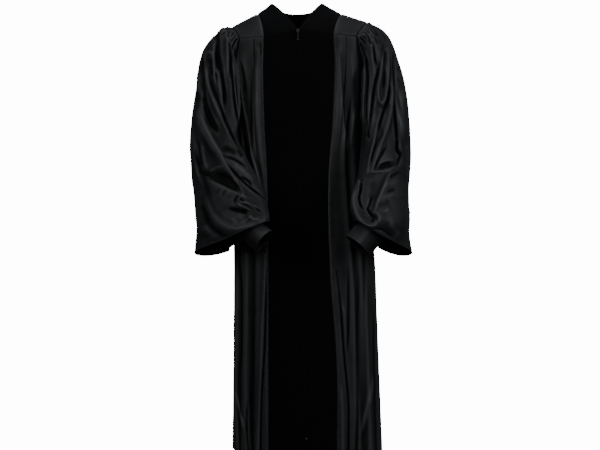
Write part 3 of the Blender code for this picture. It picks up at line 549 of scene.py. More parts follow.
# turn at the top, turn at the foot, from drop, to drop, half width in degrees, height
BODY_FOLDS = (
    (-43.5, -42.5, 0.15, 1.40, 4.5, 0.008),
    (-49.0, -48.0, 0.13, 1.40, 3.5, -0.007),
    (-60.0, -50.0, 0.13, 0.62, 5.0, 0.008),
    (-57.0, -56.0, 0.55, 1.40, 5.0, 0.009),
    (-64.0, -63.0, 0.70, 1.40, 4.0, -0.007),
    (-72.0, -73.0, 0.60, 1.40, 6.0, 0.008),
    (-84.0, -86.0, 0.70, 1.40, 6.0, -0.006),
    (42.5, 43.0, 0.12, 1.40, 4.0, 0.007),
    (47.5, 47.0, 0.12, 1.40, 3.0, -0.007),
    (53.0, 52.0, 0.13, 1.40, 4.0, 0.006),
    (60.0, 50.0, 0.60, 1.10, 4.0, -0.007),
    (72.0, 70.0, 0.55, 1.40, 6.0, 0.009),
    (83.0, 82.0, 0.80, 1.40, 5.0, -0.007),
)
FOLDS_SHARE, SKIRT_SHARE = 0.75, 0.50  # the cloth hangs slacker than the model, most of all in the skirt
SKIRT_FROM, SKIRT_OVER, BODY_FOLD_FADE = 0.60, 0.25, 0.06


def folds_round(place, along, folds, fade):
    """The push of a table of folds that run along the cloth at a place round it, in degrees."""
    push = np.zeros(np.broadcast(place, along).shape)
    for start, end, low, high, half_width, height in folds:
        middle = start + (end - start) * np.clip((along - low) / (high - low), 0, 1)
        off = (place - middle + 180) % 360 - 180
        fades = ease((along - low) / fade) * ease((high - along) / fade)
        push = push + height * fades * np.exp(-((off / half_width) ** 2))
    return push


def body_at(turn, drop, folded=True):
    """A point of the body cloth."""
    turn, drop = np.broadcast_arrays(np.asarray(turn, float), np.asarray(drop, float))
    axis_x, half_width, front, back = np.moveaxis(through(BODY[:, 0], BODY[:, 1:], drop), -1, 0)
    angle = np.radians(turn)
    depth = np.where(np.cos(angle) > 0, front, back)
    across = np.abs(np.sin(angle)) / half_width
    along = np.abs(np.cos(angle)) / depth
    radius = (across**ROUNDNESS + along**ROUNDNESS) ** (-1 / ROUNDNESS)
    if folded:
        share = FOLDS_SHARE + (SKIRT_SHARE - FOLDS_SHARE) * ease((drop - SKIRT_FROM) / SKIRT_OVER)
        radius = radius + share * folds_round(turn, drop, BODY_FOLDS, BODY_FOLD_FADE)
    return np.stack((axis_x + radius * np.sin(angle), -radius * np.cos(angle), -drop), -1)


def turn_at_x(x, drop):
    """The turn of the front cloth that lies at x."""
    axis_x, half_width, front, _ = np.moveaxis(through(BODY[:, 0], BODY[:, 1:], drop), -1, 0)
    off = np.asarray(x) - axis_x
    depth = front * (1 - (np.abs(off) / half_width) ** ROUNDNESS) ** (1 / ROUNDNESS)
    return np.degrees(np.arctan2(off, depth))


def turn_at_depth(y, drop, side):
    """The turn of the cloth at one side that lies at depth y."""
    _, half_width, front, back = np.moveaxis(through(BODY[:, 0], BODY[:, 1:], drop), -1, 0)
    depth = np.where(np.asarray(y) < 0, front, back)
    across = half_width * (1 - (np.abs(y) / depth) ** ROUNDNESS) ** (1 / ROUNDNESS)
    return np.degrees(np.arctan2(side * across, -np.asarray(y)))


print("body at mid-chest:", body_at(0, 0.2).round(3))

# %% [markdown]
# ## Folds
# A fold is drawn as a fitter sees it from in front: a line on an upright pane that stands against the
# robe, how wide it is on either side, and how far it stands out (+) or sinks in (-). A sharp side and a
# broad side make a pressed pleat. Lines that bend round an elbow make the drapes there. Cloth that faces
# the pane moves mostly towards it. Between the folds, soft random wrinkles keep any cloth from being
# flat.

# %% Press folds into cloth
PANE_Y = -0.1486
TOWARDS_PANE = 1.3
FACING_FROM, FACING_OVER = 0.05, 0.30
STEPS_PER_KNOT, REACH_IN_WIDTHS, FADED_SHARE, FOLD_SHARPNESS = 7, 3.0, 0.3, 1.7


def on_pane(points):
    """Where the eye in front sees each point on the pane: its x and its drop, in millimetres."""
    share = (PANE_Y - EYE[1]) / (points[..., 1] - EYE[1])
    x = EYE[0] + (points[..., 0] - EYE[0]) * share
    z = EYE[2] + (points[..., 2] - EYE[2]) * share
    return x * 1000, z * -1000


def facing(normals, way):
    """How far each point of the cloth faces the front (way 1) or the back (way -1), from 0 to 1."""
    return ease((-way * normals[..., 1] + FACING_FROM) / FACING_OVER)


def fold_ways(normals):
    """The way each point moves in its folds: along its normal, drawn to the front or the back."""
    ways = normals.copy()
    ways[..., 1] += TOWARDS_PANE * (facing(normals, -1) - facing(normals, 1))
    return ways / np.linalg.norm(ways, axis=-1, keepdims=True)


def fold_push(points, folds):
    """How far a table of folds moves each point out. A row is a line of (x, drop) on the pane in
    millimetres, the fold's width to its right and to its left as it runs down, its height, and the
    share of it left at each end."""
    x, drop = on_pane(points)
    push = np.zeros(x.shape)
    for line, right, left, height, start, end in folds:
        line = np.array(line, float)
        knots = np.concatenate(((0,), np.cumsum(np.linalg.norm(np.diff(line, axis=0), axis=1))))
        fine = through(knots, line, np.linspace(0, knots[-1], STEPS_PER_KNOT * len(line)))
        reach = REACH_IN_WIDTHS * max(right, left)
        low, high = fine.min(0) - reach, fine.max(0) + reach
        near = (x > low[0]) & (x < high[0]) & (drop > low[1]) & (drop < high[1])
        at = np.stack((x[near], drop[near]), -1)
        nearest = np.full(len(at), np.inf)
        side, along = np.zeros(len(at)), np.zeros(len(at))
        so_far = 0.0
        for a, b in zip(fine[:-1], fine[1:]):
            run = b - a
            length = np.linalg.norm(run)
            share = np.clip((at - a) @ run / length**2, 0, 1)
            off = at - a - share[:, None] * run
            far = np.hypot(off[:, 0], off[:, 1])
            closer = far < nearest
            nearest = np.where(closer, far, nearest)
            side = np.where(closer, run[0] * off[:, 1] - run[1] * off[:, 0], side)
            along = np.where(closer, so_far + share * length, along)
            so_far += length
        along /= so_far
        fades = start + (1 - start) * ease(along / FADED_SHARE)
        fades = fades * (end + (1 - end) * ease((1 - along) / FADED_SHARE))
        off = nearest / np.where(side > 0, right, left)
        push[near] += height * fades * np.exp(-(off**FOLD_SHARPNESS))
    return push / 1000


print("the pane stands at y =", PANE_Y)

# %% Add soft wrinkles
LATTICE, OFF_CENTRE = 32, 7.3
# share of the height, size of one lump across x, y and z, seed
WRINKLES = (
    (1.0, (0.045, 0.045, 0.170), 3),
    (0.45, (0.020, 0.020, 0.075), 4),
    (0.30, (0.060, 0.060, 0.028), 5),
    (0.16, (0.010, 0.010, 0.022), 6),
)
WRINKLE_HEIGHT = {
    "front": 0.0011, "front yoke": 0.0004, "velvet": 0.0006, "neck": 0.0004, "back": 0.0013,
    "back yoke": 0.0007, "sleeve": 0.0013, "cuff": 0.0006, "inner sleeve": 0.0012,
}


def soft_random(points, lump, seed):
    """Smooth random values from -1 to 1. lump is the size of one lump across x, y and z, in metres."""
    lattice = np.random.default_rng(seed).uniform(-1, 1, (LATTICE, LATTICE, LATTICE))
    place = points / np.asarray(lump) + OFF_CENTRE
    low = np.floor(place).astype(int)
    share = ease(place - low)
    total = np.zeros(points.shape[:-1])
    for corner in np.ndindex(2, 2, 2):
        weight = np.prod(np.where(corner, share, 1 - share), axis=-1)
        i, j, k = np.moveaxis((low + corner) % LATTICE, -1, 0)
        total += weight * lattice[i, j, k]
    return total


def wrinkles(points, height):
    """Soft wrinkles that lie mostly up and down the cloth, with a few across it."""
    return height * sum(share * soft_random(points, lump, seed) for share, lump, seed in WRINKLES)


print("a wrinkle:", wrinkles(np.zeros((1, 3)), 0.001).round(5))

# %% [markdown]
# ## From a grid of points to a sewn sheet
# Each piece starts as a grid of points, rows down the cloth and columns across it. Beside a sewn edge the
# grid gets extra lines, the folds are calmed, and the cloth rolls into the seam. A free edge is turned
# under and carried back up inside, as a hem is. The distances along the rows and columns become the
# cloth's own map in metres, so that the weave keeps its size. The cloth is one surface: its own thickness
# is far below what shows.

# %% Roll a grid into its seams
SEAM_LINES = (0.25, 0.6)
SEAM_ROLL, SEAM_ROLL_WIDE, SEAM_CALM = 0.0026, 0.0023, 0.012
PUCKER_HEIGHT, PUCKER_LUMP, PUCKER_SEED, PUCKER_AT = 0.0005, 0.007, 11, 0.005
FAR_OFF = 9.0  # farther than any piece is long


def read_between(points, at, axis):
    """The grid read at places between its lines."""
    low = np.clip(np.floor(at).astype(int), 0, points.shape[axis] - 2)
    shape = [1] * points.ndim
    shape[axis] = len(at)
    share = (np.asarray(at) - low).reshape(shape)
    first, second = np.take(points, low, axis), np.take(points, low + 1, axis)
    return first + (second - first) * share


def lines_by_seams(points, sewn):
    """The grid with two more lines beside each sewn edge. sewn names edges: top, foot, first, last."""
    for axis, (near, far) in enumerate((("top", "foot"), ("first", "last"))):
        last = points.shape[axis] - 1
        at = set(range(last + 1))
        if near in sewn:
            at |= set(SEAM_LINES)
        if far in sewn:
            at |= {last - line for line in SEAM_LINES}
        points = read_between(points, np.array(sorted(at)), axis)
    return points


def grid_normals(points, closed, flip):
    """Outward normals of a grid. closed joins its last column to its first."""
    down = np.gradient(points, axis=0)
    if closed:
        across = np.roll(points, -1, 1) - np.roll(points, 1, 1)
    else:
        across = np.gradient(points, axis=1)
    normal = np.cross(down, across) * (-1 if flip else 1)
    return normal / np.maximum(np.linalg.norm(normal, axis=-1, keepdims=True), 1e-12)


def walked(points, axis):
    """Distance along the grid from its first line, at every point."""
    steps = np.linalg.norm(np.diff(points, axis=axis), axis=-1)
    start = np.zeros_like(np.take(steps, [0], axis))
    return np.concatenate((start, np.cumsum(steps, axis=axis)), axis=axis)


def from_seams(points, sewn):
    """Distance to the nearest sewn edge, at every point."""
    down, across = walked(points, 0), walked(points, 1)
    far = np.full(points.shape[:2], FAR_OFF)
    if "top" in sewn:
        far = np.minimum(far, down)
    if "foot" in sewn:
        far = np.minimum(far, down[-1:] - down)
    if "first" in sewn:
        far = np.minimum(far, across)
    if "last" in sewn:
        far = np.minimum(far, across[:, -1:] - across)
    return far


def seamed(points, normals, push, sewn):
    """The grid with its folds pushed out, calmed beside the seams and rolled into them with small
    puckers."""
    far = from_seams(points, sewn)
    roll = SEAM_ROLL * np.exp(-((far / SEAM_ROLL_WIDE) ** 2))
    pucker = PUCKER_HEIGHT * soft_random(points, PUCKER_LUMP, PUCKER_SEED)
    pucker *= np.exp(-(((far - PUCKER_AT) / PUCKER_AT) ** 2))
    return points + normals * (push * ease(far / SEAM_CALM) + pucker - roll)[..., None]


def sewn_flat(points, flip, height, sewn):
    """The grid with its seams and wrinkles, but no folds."""
    points = lines_by_seams(points, sewn)
    normals = grid_normals(points, False, flip)
    return seamed(points, normals, wrinkles(points, height), sewn)


print("a seam rolls in by", SEAM_ROLL)

# %% Leave seam allowances and turn the hems
SEAM_ALLOWANCE = 0.005
HEM_TURNED, EDGE_TURNED, CUFF_TURNED, NECK_TURNED = 0.024, 0.012, 0.020, 0.010
HEM_WALL = 0.0012


def with_allowance(points, straight=4, inwards=0.0):
    """The grid with a row before its first one, which carries the cloth on under its neighbour's edge.
    The row goes on in the line of the first rows, as many as straight says, and is moved by inwards."""
    back = points[0] - points[straight]
    back /= np.linalg.norm(back, axis=-1, keepdims=True)
    return np.concatenate(((points[0] + back * SEAM_ALLOWANCE + inwards)[None], points))


def allowance_beside(points, first):
    """The same before the first column, or after the last."""
    order = slice(None, None, 1 if first else -1)
    return with_allowance(points.transpose(1, 0, 2)[order])[order].transpose(1, 0, 2)


def turned_under(points, normals, depth=HEM_TURNED):
    """The grid and its normals, with the last row turned round the edge and carried back up inside."""
    edge, up = points[-1], normals[-1]
    ahead = edge - points[-2]
    ahead /= np.linalg.norm(ahead, axis=-1, keepdims=True)
    radius = HEM_WALL / 2
    rows = [
        edge + ahead * radius * math.sin(a) - up * radius * (1 - math.cos(a))
        for a in np.radians((45, 90, 135))
    ]
    back = np.linalg.norm(np.diff(points[::-1], axis=0), axis=-1).mean(1).cumsum()
    inside = range(1, int(np.searchsorted(back, depth)) + 2)
    rows += [points[-i] - normals[-i] * HEM_WALL for i in inside]
    ups = [up, up, up] + [normals[-i] for i in inside]
    return np.concatenate((points, np.array(rows))), np.concatenate((normals, np.array(ups)))


def turned_side(points, normals, first, depth):
    """The same for the first or the last column."""
    order = slice(None, None, -1 if first else 1)
    sideways = [grid.transpose(1, 0, 2)[order] for grid in (points, normals)]
    return [grid[order].transpose(1, 0, 2) for grid in turned_under(*sideways, depth)]


print("a hem is turned up by", HEM_TURNED)

# %% Build the sheet of a piece
# painted fold light: the reach over which a point is evened out, how far it stands out where its painted
# highlight or shade is full, the push that paints it full, and the share of the seam calm at the top of a
# closed piece where standing out paints none
FOLD_REACH, FOLD_FULL, PUSH_FULL, DARK_SEAM = 0.007, 0.0024, 0.018, 0.3


def evened(grid, reach, closed):
    """The grid with each point moved to the middle of its neighbours, as far as the reach."""
    for axis in (0, 1):
        spacing = np.linalg.norm(np.diff(grid, axis=axis), axis=-1).mean()
        for _ in range(int(2 * (reach / spacing) ** 2) + 1):
            if axis == 1 and closed:
                before, after = np.roll(grid, 1, 1), np.roll(grid, -1, 1)
            else:
                ends = np.take(grid, [0, -1], axis)
                first, last = np.take(ends, [0], axis), np.take(ends, [1], axis)
                wide = np.concatenate((first, grid, last), axis)
                before = np.take(wide, range(grid.shape[axis]), axis)
                after = np.take(wide, range(2, grid.shape[axis] + 2), axis)
            grid = 0.25 * before + 0.5 * grid + 0.25 * after
    return grid


def standing_out(points, closed, flip):
    """From -1 in the depth of a fold to 1 on its ridge, at every point."""
    off = points - evened(points, FOLD_REACH, closed)
    return np.clip((off * grid_normals(points, closed, flip)).sum(-1) / FOLD_FULL, -1, 1)


def sheet_mesh(name, points, closed, flip, finish, hem_row=None, push=None):
    """A mesh of a grid, with its cloth map in metres, its distance from the hem and its painted fold light
    (painted shade and highlight).
    """
    rows, columns = points.shape[:2]
    # painted shade where the cloth sinks below its neighbours, painted highlight where it stands out
    light = standing_out(points, closed, flip)
    if closed:
        light *= ease(walked(points, 0) / SEAM_CALM - DARK_SEAM)
    # a push paints more of the same: shade where it sinks in, highlight where it stands out
    if push is not None:
        push = np.pad(push, ((0, rows - len(push)), (0, 0)), mode="edge")
        light = np.clip(light + push / PUSH_FULL, -1, 1)
    index = np.arange(rows * columns).reshape(rows, columns)
    wide = np.concatenate((index, index[:, :1]), 1) if closed else index
    corners = (wide[:-1, :-1], wide[1:, :-1], wide[1:, 1:], wide[:-1, 1:])
    faces = np.stack(corners, -1).reshape(-1, 4)
    mesh = bpy.data.meshes.new(name)
    mesh.from_pydata(points.reshape(-1, 3), [], (faces[:, ::-1] if flip else faces).tolist())
    ring = np.concatenate((points, points[:, :1]), 1) if closed else points
    metres = np.stack((walked(ring, 1), walked(ring, 0)), -1)
    corner_metres = (metres[:-1, :-1], metres[1:, :-1], metres[1:, 1:], metres[:-1, 1:])
    per_corner = np.stack(corner_metres, 2).reshape(-1, 4, 2)
    layer = mesh.uv_layers.new(name="cloth_metres")
    layer.data.foreach_set("uv", (per_corner[:, ::-1] if flip else per_corner).astype(np.float32).ravel())
    hem = np.full((rows, columns), FAR_OFF)
    if hem_row is not None:
        down = walked(points, 0)
        hem = np.abs(down - down[hem_row][None, :])
    for label, values in (("from_hem", hem), ("painted_fold_light", light)):
        attribute = mesh.attributes.new(label, "FLOAT", "POINT")
        attribute.data.foreach_set("value", values.astype(np.float32).ravel())
    mesh.shade_smooth()
    mesh.materials.append(finish)
    return link(bpy.data.objects.new(name, mesh))


def measured(obj):
    """The area of an object's mesh."""
    return sum(face.area for face in obj.data.polygons)


def sewn_in(obj, body, slot, *stood_for):
    """The piece moves with a body and stands for nodes of the model, which are hidden. The slot is not used.
    """
    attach(obj, body)
    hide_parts(*stood_for)
    print(f"{obj.name}: {len(obj.data.polygons)} faces, {measured(obj):.3f} square metres")


print("a fold is at its brightest where it stands out by", FOLD_FULL)

# %% [markdown]
# ## Edges that the pieces share
# Neighbouring pieces are cut along the same lines, so each shared line is worked out once: the velvet's
# edges, the neck, the shoulder, the armhole and the tilted hem. The counts say how finely each piece is
# laid out.

# %% Draw the shared edges
SHOULDER_ROWS, ARMHOLE_ROWS, SKIRT_ROWS = 24, 48, 220
FRONT_COLUMNS, BAND_COLUMNS_ACROSS, FLUTES = 120, 30, 12
BACK_COLUMNS = 16 * FLUTES
BACK_YOKE_COLUMNS = BACK_COLUMNS + 2 * SHOULDER_ROWS
# drop, outer edge at the wearer's right, middle, outer edge at the left
BAND = np.array(
    (
        (0.085, -0.0930, -0.0005, 0.0957),
        (0.229, -0.0933, -0.0005, 0.0962),
        (0.364, -0.0893, 0.0005, 0.0906),
        (0.455, -0.0840, 0.0030, 0.0830),
        (0.739, -0.0793, 0.0090, 0.0849),
        (0.978, -0.0793, 0.0150, 0.1019),
        (1.260, -0.0787, 0.0250, 0.1029),
    )
)
OUTER = {RIGHT: 1, LEFT: 3}
MIDDLE = 2
ZIP_SLOT, MEETING_SLOT, V_FOOT_DROP = 0.0040, 0.0012, 0.0886
NECK_POINT = {RIGHT: (-0.0745, 0.0, 0.0025), LEFT: (0.0672, 0.0, 0.0035)}
NECK_BEND = {RIGHT: (-0.0370, -0.048, -0.030), LEFT: (0.0340, -0.048, -0.030)}
BAND_POINT = {RIGHT: (-0.1156, 0.0, -0.028), LEFT: (0.1215, 0.0, -0.0285)}
BAND_BENDS = {
    RIGHT: ((-0.1100, -0.045, -0.030), (-0.0960, -0.092, -0.070)),
    LEFT: ((0.1160, -0.045, -0.031), (0.1000, -0.092, -0.066)),
}
SHOULDER_POINT = {RIGHT: (-0.1860, 0.0, -0.0646), LEFT: (0.1925, 0.0, -0.0510)}
FRONT_SHOULDER_BENDS = {
    RIGHT: ((-0.1840, -0.030, -0.067), (-0.1690, -0.066, -0.084)),
    LEFT: ((0.1905, -0.030, -0.054), (0.1730, -0.066, -0.075)),
}
BACK_SHOULDER_BENDS = {
    RIGHT: ((-0.1850, 0.034, -0.067), (-0.1760, 0.072, -0.100)),
    LEFT: ((0.1905, 0.034, -0.054), (0.1800, 0.072, -0.092)),
}
FRONT_CORNER_DEPTH, BACK_CORNER_DEPTH = 0.0845, 0.0850
NECK_BACK, NECK_BAND_BACK, NECK_BACK_DIP, YOKE_BULGE = 0.078, 0.112, 0.018, 0.010


def band_x(drop, column):
    return through(BAND[:, 0], BAND[:, column], drop)


def slot_half(drop):
    """Half the gap between the velvet's two edges: even beside the zip, then closing until the turned
    edges meet."""
    closing = ease(2 * (drop - ZIP_FOOT) / (HEM - ZIP_FOOT))
    return 0.5 * (ZIP_SLOT + (MEETING_SLOT - ZIP_SLOT) * closing)


def armhole_levels(corner_drop, corner_depth):
    """Drops and depths down one edge of the armhole, a quarter of an ellipse as seen from the side."""
    angle = np.linspace(0, math.pi / 2, ARMHOLE_ROWS + 1)
    return corner_drop + (UNDERARM - corner_drop) * np.sin(angle), corner_depth * np.cos(angle)


def skirt_drops():
    shares = np.linspace(0, 1, SKIRT_ROWS + 1)[1:]
    return UNDERARM + (HEM - UNDERARM) * shares


def tilted(drops, turns):
    """Drops with the hem's tilt let in below the underarm."""
    return drops - ease((drops - UNDERARM) / (HEM - UNDERARM)) * HEM_TILT * np.sin(np.radians(turns))


def shoulder_edge(side, bends, corner):
    return bend((SHOULDER_POINT[side], *bends[side], corner), np.linspace(0, 1, SHOULDER_ROWS + 1))


def front_edges(side):
    """Drops, inner turns and outer turns of a front's rows, from the yoke seam to the hem."""
    drops, depths = armhole_levels(YOKE_SEAM[side], FRONT_CORNER_DEPTH)
    outer = turn_at_depth(-depths, drops, side)
    outer[-1] = 90 * side
    drops = np.concatenate((drops, skirt_drops()))
    outer = np.concatenate((outer, np.full(SKIRT_ROWS, 90.0 * side)))
    return drops, turn_at_x(band_x(drops, OUTER[side]), drops), outer


def band_edge_row(side):
    """The line between a velvet band and its yoke, from the shoulder to the yoke seam."""
    seam = YOKE_SEAM[side]
    foot = body_at(turn_at_x(band_x(seam, OUTER[side]), seam), seam)
    return bend((BAND_POINT[side], *BAND_BENDS[side], foot), np.linspace(0, 1, SHOULDER_ROWS + 1))


print("underarm at", UNDERARM, "and hem at", HEM)

# %% [markdown]
# ## Fronts
# Each front is a long panel of satin from the yoke seam to the hem, with a pressed pleat a little way out
# from the velvet and looser folds beside the arm. A subdivided plane with a cloth simulation could hang
# well, but it would hardly put the folds where this robe has them, so they are laid line by line from
# tables.

# %% Chalk the folds of the fronts
# line on the pane, width to its right and left, height, share left at its start and end
RIGHT_FRONT_FOLDS = (
    (((-107, 150), (-107, 200), (-108, 260), (-107, 320), (-103, 380), (-98, 440), (-91, 500), (-86, 545)),
     8, 7, 4, 0.6, 0.3),
    (((-99, 128), (-100, 150), (-99, 172)), 2.5, 2.5, -4, 0.3, 0),
    (((-119, 122), (-118, 170), (-118, 230), (-118, 300), (-115, 360), (-108, 430), (-100, 490)), 1.5, 2,
     -2.5, 0.8, 0.2),
    (((-132, 240), (-131, 300), (-128, 380), (-122, 460)), 8, 8, 3, 0.2, 0.2),
    (((-166, 140), (-162, 180), (-157, 225), (-150, 270), (-144, 310), (-136, 350), (-129, 390), (-118,
     450), (-104, 505), (-92, 545)), 4.5, 3, 9, 0.4, 0.2),
    (((-154, 178), (-147, 212), (-142, 245), (-140, 268)), 2, 2, -6, 0.2, 0.2),
    (((-166, 215), (-160, 262), (-153, 310), (-147, 360), (-138, 420), (-124, 480)), 4, 4, -9, 0.2, 0.2),
)
LEFT_FRONT_FOLDS = (
    (((111, 112), (110, 175), (107, 257), (103, 340), (98, 420)), 9, 9, 3, 0.6, 0.3),
    (((127, 112), (127, 180), (124, 250), (119, 310), (113, 380), (106, 445)), 1.5, 2, -2.6, 0.6, 0.4),
    (((142, 270), (138, 320), (131, 378), (122, 440)), 2, 2, -3, 0.1, 0.3),
    (((131, 300), (126, 350), (118, 420)), 3, 3, 3, 0, 0),
    (((150, 300), (146, 350), (140, 420)), 3, 3, 3, 0, 0),
    (((168, 230), (168, 300), (167, 365), (164, 430), (160, 493)), 4, 4, -6, 0.2, 0.2),
    (((129, 250), (127, 320), (125, 400), (122, 470)), 8, 8, 2.5, 0.2, 0.3),
    (((158, 140), (158, 200), (157, 260), (154, 330), (148, 400)), 14, 5, 6, 0.3, 0.2),
)
FRONT_FOLDS = {RIGHT: RIGHT_FRONT_FOLDS, LEFT: LEFT_FRONT_FOLDS}
# the points of these lines were computed by a separate script, not chosen by hand
SKIRT_FOLDS = (
    (((-87, 699), (-91, 792), (-96, 898), (-101, 1057), (-107, 1229)), 4, 3, 6, 0.4, 1),
    (((-82, 707), (-86, 819), (-90, 951), (-99, 1084), (-101, 1229)), 2, 2, -5, 0.4, 1),
    (((-137, 702), (-136, 872), (-139, 1031), (-133, 1229)), 6, 5, 6, 0.3, 1),
    (((-153, 718), (-151, 898), (-155, 1031)), 4, 4, -6, 0, 0),
    (((-163, 707), (-164, 898), (-165, 1084), (-160, 1229)), 5, 4, 5, 0.3, 1),
    (((-168, 1052), (-157, 1105), (-144, 1163), (-136, 1194)), 4, 3, 6, 0, 0),
    (((-136, 1078), (-137, 1150), (-133, 1229)), 3, 4, -8, 0, 1),
    (((-120, 819), (-122, 978), (-125, 1163), (-122, 1231)), 4, 4, -4, 0, 1),
    (((103, 744), (114, 845), (124, 978), (134, 1084), (135, 1229)), 3, 2, -6, 0.4, 1),
    (((133, 734), (134, 845), (131, 983)), 3, 3, -5, 0.2, 0),
    (((117, 819), (126, 898), (127, 951)), 3, 3, 3, 0, 0),
    (((112, 1031), (118, 1123), (119, 1231)), 6, 5, 5, 0, 1),
    (((204, 999), (193, 1070), (180, 1123), (164, 1194)), 6, 6, 6, 0, 0),
    (((184, 712), (181, 845), (186, 1004), (193, 1231)), 5, 5, 5, 0, 1),
    (((160, 718), (157, 898), (159, 1084), (156, 1231)), 4, 4, -5, 0, 1),
    (((202, 819), (204, 1031), (209, 1231)), 4, 4, -5, 0, 1),
)
print("folds on the fronts:", sum(len(rows) for rows in FRONT_FOLDS.values()) + len(SKIRT_FOLDS))

# %% Cut and sew the fronts


def front_points(side):
    drops, inner, outer = front_edges(side)
    share = np.linspace(0, 1, FRONT_COLUMNS + 1)
    first, last = (outer, inner) if side < 0 else (inner, outer)
    turns = first[:, None] + (last - first)[:, None] * share
    return body_at(turns, tilted(drops[:, None], turns))


def sew_front(side):
    points = lines_by_seams(front_points(side), {"top", "first", "last"})
    normals = grid_normals(points, False, False)
    push = fold_push(points, FRONT_FOLDS[side] + SKIRT_FOLDS) * facing(normals, 1)
    push += wrinkles(points, WRINKLE_HEIGHT["front"])
    points = seamed(points, fold_ways(normals), push, {"top", "first", "last"})
    points = with_allowance(allowance_beside(points, side < 0))
    push = np.pad(push, ((1, 0), (1, 0) if side < 0 else (0, 1)), mode="edge")
    hem_row = len(points) - 1
    points, _ = turned_under(points, grid_normals(points, False, False))
    name = SIDE_NAME[side]
    # the folds' push also paints shade and highlight into the satin's colour
    obj = sheet_mesh(f"satin_front_{name}", points, False, False, satin, hem_row, push)
    sewn_in(obj, "robe", "satin", f"front_{name}")


for side in SIDE_NAME:
    sew_front(side)

# %% [markdown]
# ## Front yokes
# The yokes are small flat pieces over the collar bones. They are pressed smooth, so they carry only the
# faintest wrinkles, and their lower edge stands a little proud where the gathered front is sewn in under
# it.

# %% Cut and sew the front yokes


def yoke_front_points(side):
    """From the shoulder line down to the yoke seam."""
    seam_row = front_points(side)[0]
    outer = shoulder_edge(side, FRONT_SHOULDER_BENDS, seam_row[0 if side < 0 else -1])
    inner = band_edge_row(side)
    first, last = (outer, inner) if side < 0 else (inner, outer)
    across = np.linspace(0, 1, FRONT_COLUMNS + 1)[None, :, None]
    rows = first[:, None] * (1 - across) + last[:, None] * across
    down = np.linspace(0, 1, SHOULDER_ROWS + 1)[:, None, None]
    return rows + down**2 * (seam_row - rows[-1])


def sew_yoke(stood_for, points, height):
    """A yoke, which is sewn on all four sides."""
    points = with_allowance(sewn_flat(points, False, height, {"top", "foot", "first", "last"}))
    obj = sheet_mesh(f"satin_{stood_for}", points, False, False, satin)
    sewn_in(obj, "robe", "satin", stood_for)


for side, name in SIDE_NAME.items():
    sew_yoke(f"yoke_front_{name}", yoke_front_points(side), WRINKLE_HEIGHT["front yoke"])

# %% [markdown]
# ## Velvet bands
# Two bands of velvet run from the shoulders, down the V of the neck and on beside the zip to the hem, and
# a third piece joins them round the back of the neck. Their free edges are turned under along the neck
# and the zip, and hang edge to edge below it.

# %% Cut and sew the velvet
V_FOOT_OVER = 0.12


def velvet_drops(side):
    """Drops of the velvet's rows on the middle line, from the foot of the V to the hem."""
    drops = front_edges(side)[0]
    return drops - (YOKE_SEAM[side] - V_FOOT_DROP) * (1 - ease((drops - drops[0]) / V_FOOT_OVER))


def velvet_points(side):
    """From the shoulder line, down the neck's V, then down beside the zip to the hem."""
    drops, inner_turn, _ = front_edges(side)
    middle_drop = velvet_drops(side)
    middle_x = band_x(middle_drop, MIDDLE) + side * slot_half(middle_drop)
    outer_x = body_at(inner_turn, drops, folded=False)[:, 0]
    share = np.linspace(0, 1, BAND_COLUMNS_ACROSS + 1)[:: side]
    x = middle_x[:, None] + (outer_x - middle_x)[:, None] * share
    drop = middle_drop[:, None] + (drops - middle_drop)[:, None] * share
    turns = turn_at_x(x, drop)
    lower = body_at(turns, tilted(drop, turns))
    v_foot = lower[0, 0 if side > 0 else -1]
    v_edge = bend((NECK_POINT[side], NECK_BEND[side], v_foot), np.linspace(0, 1, SHOULDER_ROWS + 1))
    upper = v_edge[:, None] + (band_edge_row(side) - v_edge)[:, None] * share[None, :, None]
    down = np.linspace(0, 1, SHOULDER_ROWS + 1)[:, None, None]
    upper = upper + down**2 * (lower[0] - upper[-1])
    return np.concatenate((upper[:-1], lower))


def sew_velvet(side):
    outer_edge, free_is_first = ("first", False) if side < 0 else ("last", True)
    points = sewn_flat(velvet_points(side), False, WRINKLE_HEIGHT["velvet"], {"top", outer_edge})
    points = with_allowance(allowance_beside(points, side < 0))
    normals = grid_normals(points, False, False)
    points, normals = turned_side(points, normals, free_is_first, EDGE_TURNED)
    points, _ = turned_under(points, normals)
    name = SIDE_NAME[side]
    obj = sheet_mesh(f"velvet_band_{name}", points, False, False, velvet)
    sewn_in(obj, "robe", "velvet", f"velvet_{name}")


for side in SIDE_NAME:
    sew_velvet(side)

# %% Sew the velvet round the back of the neck
NECK_ROWS = 15


def neck_line(back, start, end):
    """Half round the back of the neck, from the wearer's left to the right."""
    angle = np.linspace(0, math.pi, BACK_YOKE_COLUMNS + 1)
    start, end = np.asarray(start), np.asarray(end)
    points = start + (end - start) * ((1 - np.cos(angle)) / 2)[:, None]
    points[:, 1] += back * np.sin(angle)
    points[:, 2] -= NECK_BACK_DIP * np.sin(angle)
    return points


neck_inner = neck_line(NECK_BACK, NECK_POINT[LEFT], NECK_POINT[RIGHT])
neck_outer = neck_line(NECK_BAND_BACK, BAND_POINT[LEFT], BAND_POINT[RIGHT])
neck_share = np.linspace(0, 1, NECK_ROWS)[:, None, None]
neck_grid = neck_outer + (neck_inner - neck_outer) * neck_share
neck_grid = sewn_flat(neck_grid, True, WRINKLE_HEIGHT["neck"], {"top", "first", "last"})
neck_grid = with_allowance(neck_grid)
neck_grid, _ = turned_under(neck_grid, grid_normals(neck_grid, False, True), NECK_TURNED)
neck_band = sheet_mesh("velvet_neck_band", neck_grid, False, True, velvet)
sewn_in(neck_band, "robe", "velvet", "velvet_neck")

# %% [markdown]
# ## Back and back yoke
# The back is fluted: the satin is drawn into deep rounded folds under a curved yoke, and they open out
# down to the hem. Real flutes are never quite even, so each one here wanders a little and has a depth of
# its own.

